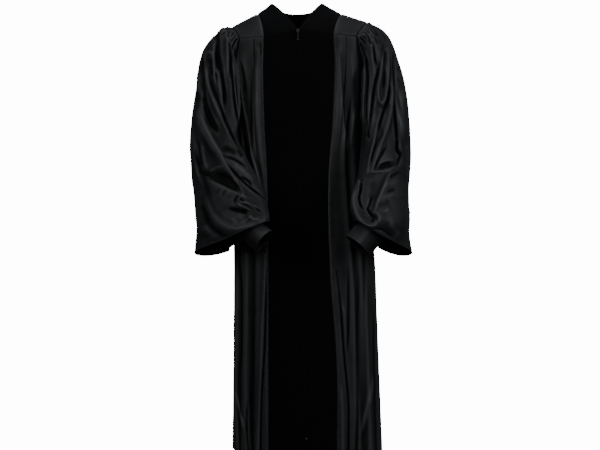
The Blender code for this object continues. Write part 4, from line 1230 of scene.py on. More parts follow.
# %% Cut and sew the back
# drop, height of a flute
FLUTE_HEIGHTS = np.array(((0.140, 0.0), (0.175, 0.006), (0.300, 0.0055), (0.700, 0.008), (1.260, 0.013)))
UNEVEN_FLUTES, UNEVEN_DEPTH, FLUTE_FADE = 0.30, 0.35, 4
FAN_AT_SEAM, FAN_BELOW, FAN_DROP = 64.0, 90.0, 0.52  # half of the turn that the flutes share


def back_edges():
    """Drops of the back's rows, with the turns of its left and right edges."""
    drops, depths = armhole_levels(BACK_SEAM, BACK_CORNER_DEPTH)
    left, right = turn_at_depth(depths, drops, LEFT), turn_at_depth(depths, drops, RIGHT) + 360
    left[-1], right[-1] = 90, 270
    drops = np.concatenate((drops, skirt_drops()))
    left = np.concatenate((left, np.full(SKIRT_ROWS, 90.0)))
    right = np.concatenate((right, np.full(SKIRT_ROWS, 270.0)))
    return drops, left, right


def back_points():
    drops, left, right = back_edges()
    share = np.linspace(0, 1, BACK_COLUMNS + 1)
    turns = left[:, None] + (right - left)[:, None] * share
    level = tilted(drops[:, None], turns)
    points = body_at(turns, level)
    fan = FAN_AT_SEAM + (FAN_BELOW - FAN_AT_SEAM) * ease((level - BACK_SEAM) / (FAN_DROP - BACK_SEAM))
    place = 0.5 + (turns - 180) / (2 * fan)
    # slow waves that never fall into step
    wander = np.sin(17.0 * place + 2.1 * level) + 0.6 * np.sin(41.0 * place - 3.0 * level)
    own_depth = 1 + UNEVEN_DEPTH * np.sin(29.0 * place + 1.3)
    height = through(FLUTE_HEIGHTS[:, 0], FLUTE_HEIGHTS[:, 1], level) * own_depth
    wave = np.cos(2 * math.pi * (FLUTES * place + UNEVEN_FLUTES * wander / math.pi))
    wave = wave * ease(FLUTE_FADE * np.sin(math.pi * share))
    angle = np.radians(turns)
    outwards = np.stack((np.sin(angle), -np.cos(angle), 0 * angle), -1)
    return points + (height * wave)[..., None] * outwards


back_grid = sewn_flat(back_points(), False, WRINKLE_HEIGHT["back"], {"top", "first", "last"})
back_grid = with_allowance(back_grid)
back_hem = len(back_grid) - 1
back_grid, _ = turned_under(back_grid, grid_normals(back_grid, False, False))
sewn_in(sheet_mesh("satin_back", back_grid, False, False, satin, back_hem), "robe", "satin", "back")

# %% Cut and sew the back yoke
BACK_YOKE_ROWS = 25


def yoke_back_points():
    """From the neck band outwards, to the armholes and the back seam."""
    seam_row = back_points()[0]
    left = shoulder_edge(LEFT, BACK_SHOULDER_BENDS, seam_row[0])
    right = shoulder_edge(RIGHT, BACK_SHOULDER_BENDS, seam_row[-1])
    outer = np.concatenate((left[:-1], seam_row, right[::-1][1:]))
    share = np.linspace(0, 1, BACK_YOKE_ROWS)[:, None, None]
    points = neck_outer + (outer - neck_outer) * share
    around = np.linspace(0, math.pi, BACK_YOKE_COLUMNS + 1)[None, :]
    bulge = YOKE_BULGE * np.sin(math.pi * share[..., 0]) * np.sqrt(np.maximum(np.sin(around), 0))
    points[..., 1] += bulge
    points[..., 2] += bulge
    return points


sew_yoke("yoke_back", yoke_back_points(), WRINKLE_HEIGHT["back yoke"])

# %% [markdown]
# ## Bell sleeves
# Each sleeve is gathered into the armhole, hangs over a bent arm and opens into a bell. It is cut here as
# rings from the armhole to the mouth, laid out finer at the front, where most of its folds are. The folds
# over the back of the arm, which the eye at the front never meets, repeat those of the front about the
# sleeve's middle.

# %% Measure the sleeves
# outer, front, inner and back of each cut, in millimetres
SLEEVE_CUTS = {
    RIGHT: (
        ((-230, 4, -80), (-180, -112, -165), (-197, -30, -302), (-214, 92, -190)),
        ((-285, 10, -220), (-215, -128, -270), (-166, -105, -335), (-240, 82, -290)),
        ((-301, 20, -400), (-252, -122, -400), (-158, -130, -398), (-222, 55, -420)),
        ((-281, 22, -530), (-232, -175, -533), (-113, -185, -487), (-215, 20, -535)),
        ((-284, -10, -630), (-200, -215, -606), (-82, -205, -560), (-200, -20, -622)),
        ((-286, -60, -697), (-178, -235, -650), (-73, -215, -611), (-182, -50, -688)),
    ),
    LEFT: (
        ((232, 4, -72), (186, -112, -165), (198, -30, -302), (214, 92, -190)),
        ((292, 10, -212), (222, -128, -270), (176, -105, -335), (242, 82, -290)),
        ((306, 20, -400), (260, -122, -400), (172, -125, -405), (226, 55, -420)),
        ((302, 22, -530), (250, -184, -535), (158, -175, -497), (222, 20, -530)),
        ((307, 5, -630), (244, -214, -606), (136, -200, -566), (226, -5, -618)),
        ((315, -40, -697), (222, -225, -648), (146, -205, -610), (232, -30, -688)),
    ),
}
# where the cloth laps over beside the body, in degrees round the sleeve, and how far at the first two cuts
LAP_SIDE, LAP_SPREAD = 135, 60
SLEEVE_LAPS = {
    RIGHT: ((0.019, -0.009, 0.019), (0.014, 0.005, 0.007)),
    LEFT: ((-0.012, -0.009, 0.019), (-0.012, 0.005, 0.007)),
}
# side at the start, side at the end, from step, to step, half width in degrees, height
SLEEVE_SWELLS = {
    RIGHT: (
        (30, 120, 0.5, 5.2, 14, 0.012),
        (75, 150, 0.5, 3.8, 12, -0.010),
        (105, 165, 0.4, 3.2, 10, 0.008),
        (60, 100, 3.0, 5.2, 20, -0.018),
        (20, 60, 3.2, 5.6, 16, 0.012),
        (345, 350, 0.8, 5.0, 12, -0.010),
        (215, 230, 1.0, 4.5, 16, -0.011),
        (300, 290, 0.8, 5.0, 16, -0.011),
        (5, 5, 1.0, 2.15, 38, 0.018),
        (0, 0, 0.0, 1.2, 45, -0.009),
    ),
    LEFT: (
        (60, 75, 0.5, 3.2, 11, 0.012),
        (95, 125, 0.5, 3.4, 12, -0.009),
        (32, 45, 0.5, 3.2, 12, -0.010),
        (120, 130, 3.3, 5.8, 18, -0.018),
        (75, 85, 3.4, 5.6, 14, 0.012),
        (10, 20, 0.8, 5.2, 12, 0.009),
        (215, 230, 1.0, 4.5, 16, -0.011),
        (300, 290, 0.8, 5.0, 16, -0.011),
        (5, 5, 0.95, 1.85, 38, 0.009),
        (0, 0, 0.0, 1.2, 45, -0.008),
    ),
}
CLEAR_OF_BODY, CLEAR_FROM_STEP, SWELL_FADE = 0.012, 0.7, 0.6
FRONT_SIDE_COLUMNS, BACK_SIDE_COLUMNS = 200, 120
SLEEVE_SIDES = np.concatenate(
    (
        np.linspace(0, 180, FRONT_SIDE_COLUMNS, endpoint=False),
        np.linspace(180, 360, BACK_SIDE_COLUMNS, endpoint=False),
    )
)
FINE_STEP, FINE_RINGS, OTHER_RINGS = 0.6, 40, 215  # the rings lie closer beside the armhole
SLEEVE_STEPS = np.concatenate(
    (np.linspace(0, FINE_STEP, FINE_RINGS, endpoint=False), np.linspace(FINE_STEP, 6, OTHER_RINGS))
)
print("sleeve grid:", len(SLEEVE_STEPS), "rings of", len(SLEEVE_SIDES))

# %% Shape a sleeve about the arm


def armhole_loop(side):
    """The armhole from the shoulder point, down the front, under the arm and up the back."""
    outer = 0 if side < 0 else -1
    rows = slice(0, ARMHOLE_ROWS + 1)
    yoke_edge = yoke_front_points(side)[:, outer]
    front_edge = front_points(side)[rows, outer]
    back_edge = back_points()[rows, -1 if side < 0 else 0][::-1]
    yoke_back = yoke_back_points()[-1]
    top_edge = (yoke_back[::-1] if side < 0 else yoke_back)[: SHOULDER_ROWS + 1][::-1]
    return np.concatenate((yoke_edge[:-1], front_edge, back_edge[1:], top_edge[1:-1]))


def ring_at(loop, sides):
    """A loop of evenly spaced points read at some sides, in degrees."""
    places = np.linspace(0, 360, len(loop), endpoint=False)
    return np.stack([np.interp(sides, places, loop[:, i], period=360) for i in range(3)], -1)


def kept_off_body(points, margin):
    """Points moved outwards to lie at least the margin from the body cloth."""
    drop = -points[..., 2]
    axis_x = through(BODY[:, 0], BODY[:, 1], drop)
    off = points[..., :2] - np.stack((axis_x, 0 * axis_x), -1)
    body = body_at(np.degrees(np.arctan2(off[..., 0], -off[..., 1])), drop)[..., :2]
    body[..., 0] -= axis_x
    need = np.linalg.norm(body, axis=-1) + margin
    have = np.linalg.norm(off, axis=-1)
    moved = points.copy()
    moved[..., :2] += off * (np.maximum(need / have, 1) - 1)[..., None]
    return moved


def sleeve_points(side, steps, sides):
    """The smooth sleeve, before its folds are chalked in."""
    around = np.radians(sides)[:, None]
    rings = [ring_at(armhole_loop(side), sides)]
    for outer, front, inner, back in np.array(SLEEVE_CUTS[side]) / 1000:
        middle = (outer + front + inner + back) / 4
        skew = (outer + inner - front - back) / 4
        rings.append(
            middle
            + (outer - inner) / 2 * np.cos(around)
            + (front - back) / 2 * np.sin(around)
            + skew * np.cos(2 * around)
        )
    lap = ease(1 - np.abs(np.degrees(around) - LAP_SIDE) / LAP_SPREAD)
    for cut, push in enumerate(SLEEVE_LAPS[side], 1):
        rings[cut] = rings[cut] + lap * np.array(push)
    points = through(np.arange(len(rings)), np.array(rings), steps)
    even = through(np.arange(len(rings)), np.array(rings).mean(1), steps)
    out = points - even[:, None]
    out /= np.linalg.norm(out, axis=-1, keepdims=True)
    push = folds_round(sides[None, :], steps[:, None], SLEEVE_SWELLS[side], SWELL_FADE)
    points = points + push[..., None] * out
    if steps[0] > 0:
        return points
    margin = (CLEAR_OF_BODY * ease(steps / CLEAR_FROM_STEP))[:, None]
    return np.concatenate((points[:1], kept_off_body(points[1:], margin[1:])))


print("right sleeve mouth:", sleeve_points(RIGHT, np.array([0.0, 6.0]), SLEEVE_SIDES)[-1].mean(0).round(3))

# %% [markdown]
# ## Gathers
# Where the sleeve is sewn in, its extra cloth is drawn up in small uneven gathers. They are packed most
# closely over the shoulder and thin out under the arm. A seeded draw gives each its place, height, width
# and length, so that the sleeve is the same each time the lesson is run.

# %% Draw up the gathers
GATHER_SEED = {RIGHT: 21, LEFT: 34}
GATHERS_OVER_SHOULDER, GATHERS_BELOW = 30, 16
OVER_SHOULDER = 84  # degrees to either side of the shoulder point
HEIGHTS_OVER, HEIGHTS_BELOW = (0.0004, 0.0014), (0.0005, 0.0012)
GATHER_WIDTHS, GATHER_LENGTHS, GATHER_DRIFTS = (1.3, 2.3), (0.018, 0.075), (-40, 40)
GATHERED_FROM = 0.004


def gather_push(side, from_armhole, sides):
    """How far the gathers move each point out, by its distance from the armhole and its side."""
    draw = np.random.default_rng(GATHER_SEED[side])
    places = np.concatenate(
        (
            np.linspace(-80, 80, GATHERS_OVER_SHOULDER) + draw.uniform(-2.0, 2.0, GATHERS_OVER_SHOULDER),
            np.linspace(88, 272, GATHERS_BELOW) + draw.uniform(-5.0, 5.0, GATHERS_BELOW),
        )
    )
    push = np.zeros(np.broadcast(from_armhole, sides).shape)
    for place in places:
        over = abs((place + 180) % 360 - 180) < OVER_SHOULDER
        height = draw.uniform(*(HEIGHTS_OVER if over else HEIGHTS_BELOW))
        width = draw.uniform(*GATHER_WIDTHS)
        length = draw.uniform(*GATHER_LENGTHS)
        drift = draw.uniform(*GATHER_DRIFTS)
        off = (sides - place - drift * from_armhole + 180) % 360 - 180
        fades = ease(from_armhole / GATHERED_FROM) * np.exp(-((from_armhole / length) ** 2))
        push += height * fades * np.exp(-((off / width) ** 2))
    return push


print("gathers on each sleeve:", GATHERS_OVER_SHOULDER + GATHERS_BELOW)

# %% Chalk the folds of the right sleeve
RIGHT_SLEEVE_FOLDS = (
    (((-217, 112), (-217, 135), (-216, 165), (-212, 190), (-205, 218)), 7, 6, -15, 0.6, 0.2),
    (((-210, 196), (-204, 222), (-199, 250), (-196, 308)), 4, 4, -13, 0.3, 0.1),
    (((-226, 125), (-225, 150), (-224, 185), (-222, 215)), 3, 3, 4, 0.4, 0),
    (((-250, 172), (-250, 195), (-246, 215), (-240, 245), (-229, 278), (-214, 315), (-200, 345), (-188,
     368)), 5, 5, 9, 0.4, 0.2),
    (((-250, 180), (-247, 166), (-240, 158), (-232, 160), (-227, 172), (-225, 200), (-222, 228), (-214,
     252)), 3, 3, 6, 0.3, 0),
    (((-237, 170), (-235, 195), (-230, 225)), 4, 4, -6, 0, 0),
    (((-255, 172), (-256, 205), (-255, 245), (-251, 288)), 4.5, 5, -13, 0.3, 0.6),
    (((-254, 282), (-243, 318), (-229, 350), (-211, 377)), 6, 7, -16, 0.5, 0),
    (((-267, 205), (-266, 240), (-263, 275)), 4, 4, 5, 0, 0),
    (((-241, 200), (-234, 235), (-222, 270), (-208, 305), (-196, 340), (-180, 375), (-163, 405), (-148,
     430)), 2.5, 3, -8, 0.2, 0.2),
    (((-222, 205), (-218, 230), (-213, 248)), 2.5, 2.5, -5, 0, 0),
    (((-218, 222), (-211, 250), (-204, 285)), 4, 4, 5, 0, 0),
    (((-190, 120), (-188, 150), (-188, 185), (-187, 240)), 5, 5, 6, 0.5, 0),
    (((-184, 135), (-182, 165), (-179, 200), (-174, 245), (-170, 290), (-163, 335), (-158, 365)), 3, 2.5,
     -9, 0.6, 0.2),
    (((-172, 200), (-167, 245), (-163, 285), (-158, 315)), 2, 2, -5, 0, 0),
    (((-177, 175), (-172, 210), (-168, 260), (-160, 315)), 2.5, 2.5, 4, 0, 0),
    (((-171, 103), (-176, 110), (-181, 118)), 1.7, 1.7, -3, 0.6, 0),
    (((-166, 111), (-174, 121), (-181, 133)), 1.7, 1.7, -3.5, 0.6, 0),
    (((-161, 118), (-169, 129), (-175, 142), (-178, 155)), 2.2, 2.2, -6, 0.7, 0),
    (((-185, 103), (-187, 112), (-190, 122)), 1.8, 1.8, -3, 0.6, 0),
    (((-194, 104), (-201, 109), (-208, 113)), 1.8, 1.8, -3, 0.4, 0),
    (((-166, 128), (-164, 150), (-160, 180)), 3, 3, 4, 0.3, 0),
    (((-271, 295), (-262, 325), (-247, 355), (-232, 385), (-215, 415), (-200, 442), (-184, 472), (-165,
     505), (-147, 533)), 13, 5, 12, 0.1, 0.3),
    (((-200, 437), (-187, 460), (-168, 482), (-150, 500), (-125, 522), (-100, 540), (-85, 552)), 2.5, 3,
     -8, 0.3, 0.3),
    (((-200, 436), (-186, 438), (-170, 444), (-152, 455), (-135, 468)), 2.5, 3, -7, 0.3, 0),
    (((-185, 448), (-165, 462), (-140, 482), (-115, 505)), 7, 7, 5, 0, 0),
    (((-158, 488), (-140, 498), (-128, 508), (-125, 520)), 2.5, 3, -6, 0, 0.3),
    (((-165, 415), (-155, 425), (-148, 440)), 4, 4, -5, 0, 0),
    (((-236, 484), (-214, 487), (-192, 492), (-172, 508)), 14, 13, -7, 0.4, 0.3),
    (((-236, 493), (-212, 503), (-184, 517), (-154, 532)), 4, 25, -11, 0.4, 0.3),
    (((-196, 480), (-182, 496), (-167, 513), (-150, 530)), 6, 6, -5, 0.3, 0.3),
    (((-206, 414), (-184, 419), (-164, 430)), 8, 9, -5, 0.2, 0.2),
    (((-241, 479), (-228, 470), (-212, 465), (-197, 463)), 2, 2, 5, 0, 0.2),
    (((-262, 352), (-246, 382), (-229, 410), (-213, 434)), 10, 8, 5, 0.2, 0.1),
    (((-279, 345), (-277, 410), (-268, 480), (-255, 520)), 5, 4, 6, 0, 0),
    (((-269, 385), (-264, 430), (-256, 475)), 5, 4, -5, 0, 0),
    (((-257, 395), (-251, 440), (-244, 480)), 4, 4, 5, 0, 0),
    (((-252, 515), (-243, 545), (-233, 572), (-219, 600), (-197, 621), (-168, 630), (-133, 624), (-105,
     612), (-82, 596)), 12, 13, 12, 0, 0.3),
    (((-218, 548), (-200, 582), (-172, 604), (-130, 606)), 16, 16, 7, 0.3, 0.2),
    (((-235, 530), (-220, 560), (-200, 590), (-178, 608)), 10, 10, 3, 0, 0),
    (((-195, 524), (-204, 542)), 2.2, 2.2, -2, 0, 0),
    (((-210, 520), (-220, 537)), 3, 3, -1.3, 0, 0),
    (((-184, 522), (-192, 540)), 4, 4, 1.5, 0, 0),
    (((-158, 538), (-167, 548), (-172, 562)), 2.5, 3, -4, 0, 0),
    (((-178, 577), (-162, 580), (-147, 583), (-133, 587)), 5, 5, -10, 0.6, 0),
    (((-170, 558), (-158, 566), (-140, 574), (-124, 582)), 3, 3, 6, 0, 0),
    (((-164, 556), (-142, 560), (-120, 569), (-96, 580)), 4, 4, 6, 0, 0),
    (((-158, 548), (-143, 557)), 3.5, 3.5, -4, 0, 0),
    (((-135, 562), (-118, 570), (-98, 586)), 2.5, 2.5, -4, 0, 0),
    (((-136, 592), (-118, 604), (-98, 603)), 5, 5, 5, 0, 0),
    (((-124, 590), (-138, 606), (-150, 618)), 3, 3, 3, 0, 0),
    (((-168, 600), (-150, 610)), 7, 7, -2.5, 0, 0),
    (((-252, 612), (-238, 638), (-216, 656)), 12, 12, 4, 0, 0),
    (((-258, 550), (-250, 590), (-232, 625), (-205, 645), (-170, 650)), 9, 9, -6, 0.2, 0),
    (((-240, 668), (-220, 666), (-205, 662)), 3, 3, 2.5, 0, 0),
)

print("folds on the right sleeve:", len(RIGHT_SLEEVE_FOLDS))

# %% Chalk the folds of the left sleeve
LEFT_SLEEVE_FOLDS = (
    (((168, 112), (174, 116), (180, 121)), 1.7, 1.7, -3, 0.6, 0),
    (((167, 118), (173, 126), (179, 138)), 2, 2, -5, 0.7, 0),
    (((178, 106), (186, 116), (194, 128)), 1.7, 1.7, -3, 0.6, 0),
    (((184, 100), (193, 111), (203, 124)), 1.7, 1.7, -3, 0.6, 0),
    (((192, 95), (202, 106), (212, 120)), 1.7, 1.7, -3, 0.6, 0),
    (((202, 96), (209, 106), (216, 118)), 1.8, 1.8, -3, 0.6, 0),
    (((186, 122), (191, 130), (196, 138)), 2.5, 2.5, -4, 0.3, 0),
    (((204, 118), (209, 128), (213, 138)), 2, 2, -4, 0.3, 0),
    (((222, 105), (230, 116), (236, 130)), 2, 2, -3, 0.3, 0),
    (((168, 135), (173, 156), (181, 176), (185, 205), (186, 245), (184, 290), (184, 335), (187, 385)), 3,
     2.5, -9, 0.5, 0.3),
    (((176, 190), (177, 235), (174, 290)), 3, 3, 4, 0, 0),
    (((180, 210), (180, 260), (178, 320), (180, 380)), 3, 3, -6, 0, 0.3),
    (((200, 132), (203, 158), (207, 182), (211, 197)), 2.5, 2.5, -7, 0.3, 0),
    (((195, 140), (197, 175), (203, 205), (205, 235)), 4, 4, 5, 0.2, 0),
    (((227, 140), (224, 165), (219, 192)), 2.5, 2.5, -5, 0.3, 0.3),
    (((220, 188), (213, 212), (206, 238), (202, 265), (198, 302), (193, 342), (188, 382)), 3.5, 3, -9, 0.2,
     0.3),
    (((225, 158), (223, 185), (219, 215), (214, 245), (213, 270), (216, 287), (223, 297)), 3.5, 3.5, 8,
     0.3, 0.8),
    (((238, 148), (240, 185), (240, 222), (237, 257), (232, 283), (223, 298)), 3.5, 3.5, 8, 0.3, 0.8),
    (((232, 158), (231, 195), (229, 232), (226, 262)), 3, 3, -9, 0.4, 0),
    (((246, 175), (245, 230), (241, 270), (234, 297), (227, 318), (220, 342), (212, 366), (205, 395)), 3,
     3.5, -10, 0.2, 0.2),
    (((249, 200), (251, 250), (249, 300), (242, 338), (230, 378), (219, 408), (207, 445), (199, 474)), 5,
     5, 8, 0, 0.4),
    (((254, 165), (255, 215), (257, 270), (258, 320), (262, 368), (265, 402), (268, 426)), 3, 3, -10, 0.3,
     0.6),
    (((214, 330), (207, 372), (199, 408), (192, 440), (185, 477)), 4.5, 4.5, 8, 0.1, 0.5),
    (((212, 385), (205, 408), (198, 432), (190, 462)), 2.5, 3, -8, 0.2, 0.3),
    (((236, 405), (223, 430), (212, 449), (204, 471)), 3, 3, -8, 0, 0.4),
    (((274, 240), (276, 300), (279, 365), (280, 400)), 10, 8, 7, 0, 0),
    (((266, 226), (271, 240)), 2.2, 2.2, -3, 0, 0),
    (((266, 196), (270, 210)), 2.2, 2.2, -3, 0, 0),
    (((264, 400), (266, 420), (273, 430), (270, 444), (263, 460)), 3.5, 3.5, -12, 0.6, 0.2),
    (((207, 469), (218, 456), (234, 448), (252, 446)), 2.2, 2.2, 5, 0.3, 0.3),
    (((214, 466), (232, 459), (253, 456)), 7.5, 7.5, -10, 0.3, 0.3),
    (((192, 478), (212, 477), (236, 474), (262, 461)), 2.5, 2.5, 5, 0.4, 0.3),
    (((274, 476), (260, 483), (243, 493)), 2.2, 2.2, -6, 0, 0),
    (((195, 495), (202, 525), (196, 560)), 14, 14, -5, 0.5, 0.3),
    (((241, 484), (225, 520), (210, 556), (200, 586)), 2.5, 9, 6, 0.5, 0.5),
    (((200, 540), (192, 562), (185, 580)), 2, 2.5, -6, 0, 0.5),
    (((186, 576), (194, 590), (206, 602)), 3, 3, -7, 0.5, 0.3),
    (((193, 604), (206, 608)), 5, 4, -5, 0, 0),
    (((163, 504), (153, 527), (149, 555), (154, 583), (166, 606), (184, 620), (202, 620), (213, 610)), 7,
     6, 12, 0.5, 0.3),
    (((168, 500), (166, 525), (162, 545), (166, 565), (177, 585)), 2.5, 3, -11, 0.3, 0),
    (((203, 582), (214, 598), (216, 612)), 3, 8, 5, 0.3, 0.3),
    (((236, 530), (262, 523)), 3, 3, -3, 0, 0),
    (((205, 566), (226, 562), (248, 550)), 7, 7, -2, 0, 0),
    (((215, 546), (240, 540), (266, 532)), 8, 8, 1.5, 0, 0),
    (((208, 580), (228, 582), (250, 572)), 8, 8, 3, 0.3, 0),
    (((226, 516), (250, 506), (274, 500)), 9, 9, 2, 0, 0),
    (((205, 630), (225, 633), (240, 643), (256, 657)), 3, 6, -4, 0.3, 0),
    (((240, 612), (256, 632), (273, 655)), 9, 9, 4, 0, 0),
)
SLEEVE_FOLDS = {RIGHT: RIGHT_SLEEVE_FOLDS, LEFT: LEFT_SLEEVE_FOLDS}
print("folds on the sleeves:", [len(rows) for rows in SLEEVE_FOLDS.values()])

# %% Cut and sew the sleeves
CLEAR_AFTER_FOLDS, CLEAR_FROM_ARMHOLE = 0.005, 0.07
BACK_FOLD_SHARE, BACK_FOLD_DROP = 0.65, -0.018


def sew_sleeve(side):
    flip = side > 0
    points = sleeve_points(side, SLEEVE_STEPS, SLEEVE_SIDES)
    normals = grid_normals(points, True, flip)
    from_armhole = walked(points, 0)
    mirrored = 2 * points.mean(1, keepdims=True) - points
    mirrored[..., 2] = points[..., 2] + BACK_FOLD_DROP
    push = fold_push(points, SLEEVE_FOLDS[side]) * facing(normals, 1)
    push += BACK_FOLD_SHARE * fold_push(mirrored, SLEEVE_FOLDS[side]) * facing(normals, -1)
    push += wrinkles(points, WRINKLE_HEIGHT["sleeve"])
    gathers = gather_push(side, from_armhole, SLEEVE_SIDES[None, :])
    points = seamed(points, fold_ways(normals), push, {"top"}) + normals * gathers[..., None]
    margin = CLEAR_AFTER_FOLDS * ease(from_armhole / CLEAR_FROM_ARMHOLE)
    points = np.concatenate((points[:1], kept_off_body(points[1:], margin[1:])))
    points = with_allowance(points, 1, normals[0] * SEAM_ALLOWANCE / -2)
    push = np.concatenate((push[:1], push))
    hem_row = len(points) - 1
    points, _ = turned_under(points, grid_normals(points, True, flip))
    name = SIDE_NAME[side]
    # the folds' push also paints shade and highlight into the satin's colour
    obj = sheet_mesh(f"satin_sleeve_{name}", points, True, flip, satin, hem_row, push)
    sewn_in(obj, "robe", "satin", f"sleeve_{name}")


for side in SIDE_NAME:
    sew_sleeve(side)

# %% [markdown]
# ## Inner sleeves and cuffs
# Inside each bell a close sleeve is sewn to the wall and carries a stiff cuff, which shows at the wrist.
# They are tubes about a bent line, round at the top and pressed flat at the cuff, where the iron has left
# a crease. Shade is painted onto the face below each cuff's crease, and a highlight onto the face above it.

# %% Shape the cuffs
CUFF_END = {RIGHT: (-0.0900, -0.225, -0.6605), LEFT: (0.1570, -0.200, -0.6740)}
CUFF_AIM = {RIGHT: (0.74, -0.25, -0.62), LEFT: (-0.64, -0.17, -0.74)}
CUFF_LENGTH, CUFF_TAPER = 0.085, 0.92
CUFF_RADIUS = {RIGHT: (0.035, 0.029), LEFT: (0.043, 0.032)}
CUFF_CREASE = {RIGHT: (0.25, -1.0, 0.10), LEFT: (-0.10, -1.0, -0.10)}
CREASE_SPREAD, CREASE_HEIGHT = 62.0, 0.009
# painted shade below a cuff's crease and painted highlight above it, given as a push, and how sharply they
# part
CUFF_SHADE, SHADE_SHARPNESS = (-0.008, 0.003), 4
TUBE_COLUMNS, CUFF_RINGS = 112, 36
CUFF_PRESSED, CREASE_FROM = 0.28, 0.35


def tube_points(middles, aims, flats, radii, pressed):
    """Rings about a line of middles, each across its aim. pressed draws the flat ends out into a crease."""
    angle = np.linspace(0, 2 * math.pi, TUBE_COLUMNS, endpoint=False)[:, None]
    rings = []
    for middle, aim, flat, (wide, narrow) in zip(middles, aims, flats, radii):
        aim = np.asarray(aim) / np.linalg.norm(aim)
        flat = np.asarray(flat) - aim * (aim @ np.asarray(flat))
        flat /= np.linalg.norm(flat)
        other = np.cross(aim, flat)
        lens = np.sin(angle) * np.abs(np.sin(angle)) ** pressed
        rings.append(np.asarray(middle) + flat * wide * np.cos(angle) + other * narrow * lens)
    return np.array(rings)


def cuff_line(side):
    aim = Vector(CUFF_AIM[side]).normalized()
    end = Vector(CUFF_END[side])
    return np.array(end), np.array(aim), np.array(end - aim * CUFF_LENGTH)


def cuff_points(side):
    end, aim, start = cuff_line(side)
    wide, narrow = CUFF_RADIUS[side]
    share = np.linspace(0, 1, CUFF_RINGS)
    middles = start + (end - start) * share[:, None]
    radii = [(wide * (CUFF_TAPER + (1 - CUFF_TAPER) * s), narrow) for s in share]
    aims, flats = [aim] * CUFF_RINGS, [(0, 0, 1)] * CUFF_RINGS
    points = tube_points(middles, aims, flats, radii, CUFF_PRESSED)
    out = points - middles[:, None]
    out /= np.linalg.norm(out, axis=-1, keepdims=True)
    crease = np.asarray(CUFF_CREASE[side]) / np.linalg.norm(CUFF_CREASE[side])
    off = np.degrees(np.arccos(np.clip(out @ crease, -1, 1)))
    tent = np.maximum(1 - off / CREASE_SPREAD, 0) * CREASE_HEIGHT * ease(share / CREASE_FROM)[:, None]
    return points + tent[..., None] * out


def cuff_shade(side, points):
    """Painted shade and highlight on a cuff: how much deeper or higher its faces should look than they
    lie. The face below its crease gets painted shade, the face above it a painted highlight."""
    aim = cuff_line(side)[1]
    out = points - points.mean(1, keepdims=True)
    out /= np.linalg.norm(out, axis=-1, keepdims=True)
    crease = np.asarray(CUFF_CREASE[side]) / np.linalg.norm(CUFF_CREASE[side])
    above = np.cross(crease, aim)
    above *= np.sign(above[2]) / np.linalg.norm(above)
    low, high = CUFF_SHADE
    return low + (high - low) * ease(0.5 + SHADE_SHARPNESS * (out @ above))


print("a cuff is", CUFF_LENGTH, "long")

# %% Shape the inner sleeves
SEAT_STEPS, SEAT_SIDE, SEAT_SPREAD = (3.2, 3.8, 4.4), {RIGHT: 120.0, LEFT: 110.0}, 10.0
SEAT_CLEAR = {RIGHT: 0.020, LEFT: 0.009}  # as deep as the folds press the wall in there
INNER_SLEEVE_RUN, INNER_SLEEVE_RADIUS = 0.034, 0.034
INNER_SLEEVE_RINGS, SLEEVE_PRESSED = 56, 0.10


def inner_sleeve_points(side):
    """From its seat on the inside of the bell sleeve to the cuff."""
    _, aim, start = cuff_line(side)
    sides = SEAT_SIDE[side] + np.array([-SEAT_SPREAD, 0.0, SEAT_SPREAD])
    bell = sleeve_points(side, np.array(SEAT_STEPS), sides)
    out = grid_normals(bell, False, side > 0)[1, 1]
    down = bell[2, 1] - bell[0, 1]
    down /= np.linalg.norm(down)
    first = bell[1, 1] - out * (INNER_SLEEVE_RADIUS + SEAT_CLEAR[side])
    share = np.linspace(0, 1, INNER_SLEEVE_RINGS)
    run = INNER_SLEEVE_RUN
    middles = bend((first, first + down * run, start - aim * run, start), share)
    aims = np.gradient(middles, axis=0)
    aims[0], aims[-1] = down, aim
    wide, narrow = CUFF_RADIUS[side]
    blend = ease(share)
    flats = out + (np.array((0, 0, 1)) - out) * blend[:, None]
    radii = [
        (
            INNER_SLEEVE_RADIUS + (wide * CUFF_TAPER - INNER_SLEEVE_RADIUS) * b,
            INNER_SLEEVE_RADIUS + (narrow - INNER_SLEEVE_RADIUS) * b,
        )
        for b in blend
    ]
    return tube_points(middles, aims, flats, radii, SLEEVE_PRESSED)


print("an inner sleeve starts on step", SEAT_STEPS[1])

# %% Sew the cuffs and the inner sleeves


def sew_tube(stood_for, points, sewn, height, turned, shade=None):
    """A cuff or an inner sleeve. A turned one has a free edge at its foot."""
    points = lines_by_seams(points, sewn)
    # a cuff's shade is painted into the satin's colour as fold light, not pressed into its shape
    push = None if shade is None else shade(points)
    normals = grid_normals(points, True, True)
    points = seamed(points, normals, wrinkles(points, height), sewn)
    hem_row = len(points) - 1 if turned else None
    if turned:
        points, _ = turned_under(points, grid_normals(points, True, True), CUFF_TURNED)
    obj = sheet_mesh(f"satin_{stood_for}", points, True, True, satin, hem_row, push)
    sewn_in(obj, "robe", "satin", stood_for)


for side, name in SIDE_NAME.items():
    sew_tube(
        f"cuff_{name}", cuff_points(side), {"top"}, WRINKLE_HEIGHT["cuff"], True,
        lambda points, side=side: cuff_shade(side, points),
    )
    points = inner_sleeve_points(side)
    sew_tube(f"inner_sleeve_{name}", points, {"top", "foot"}, WRINKLE_HEIGHT["inner sleeve"], False)

# %% [markdown]
# ## Zip chain
# The zip closes the velvet's two edges. Its chain is a nylon coil: small rounded loops from either tape
# that lie between each other. One loop is modelled and repeated down the middle line, turned to lie on
# the cloth, so that the light catches every loop. The tapes and the bottom stop are the model's own
# solids, with better finishes.

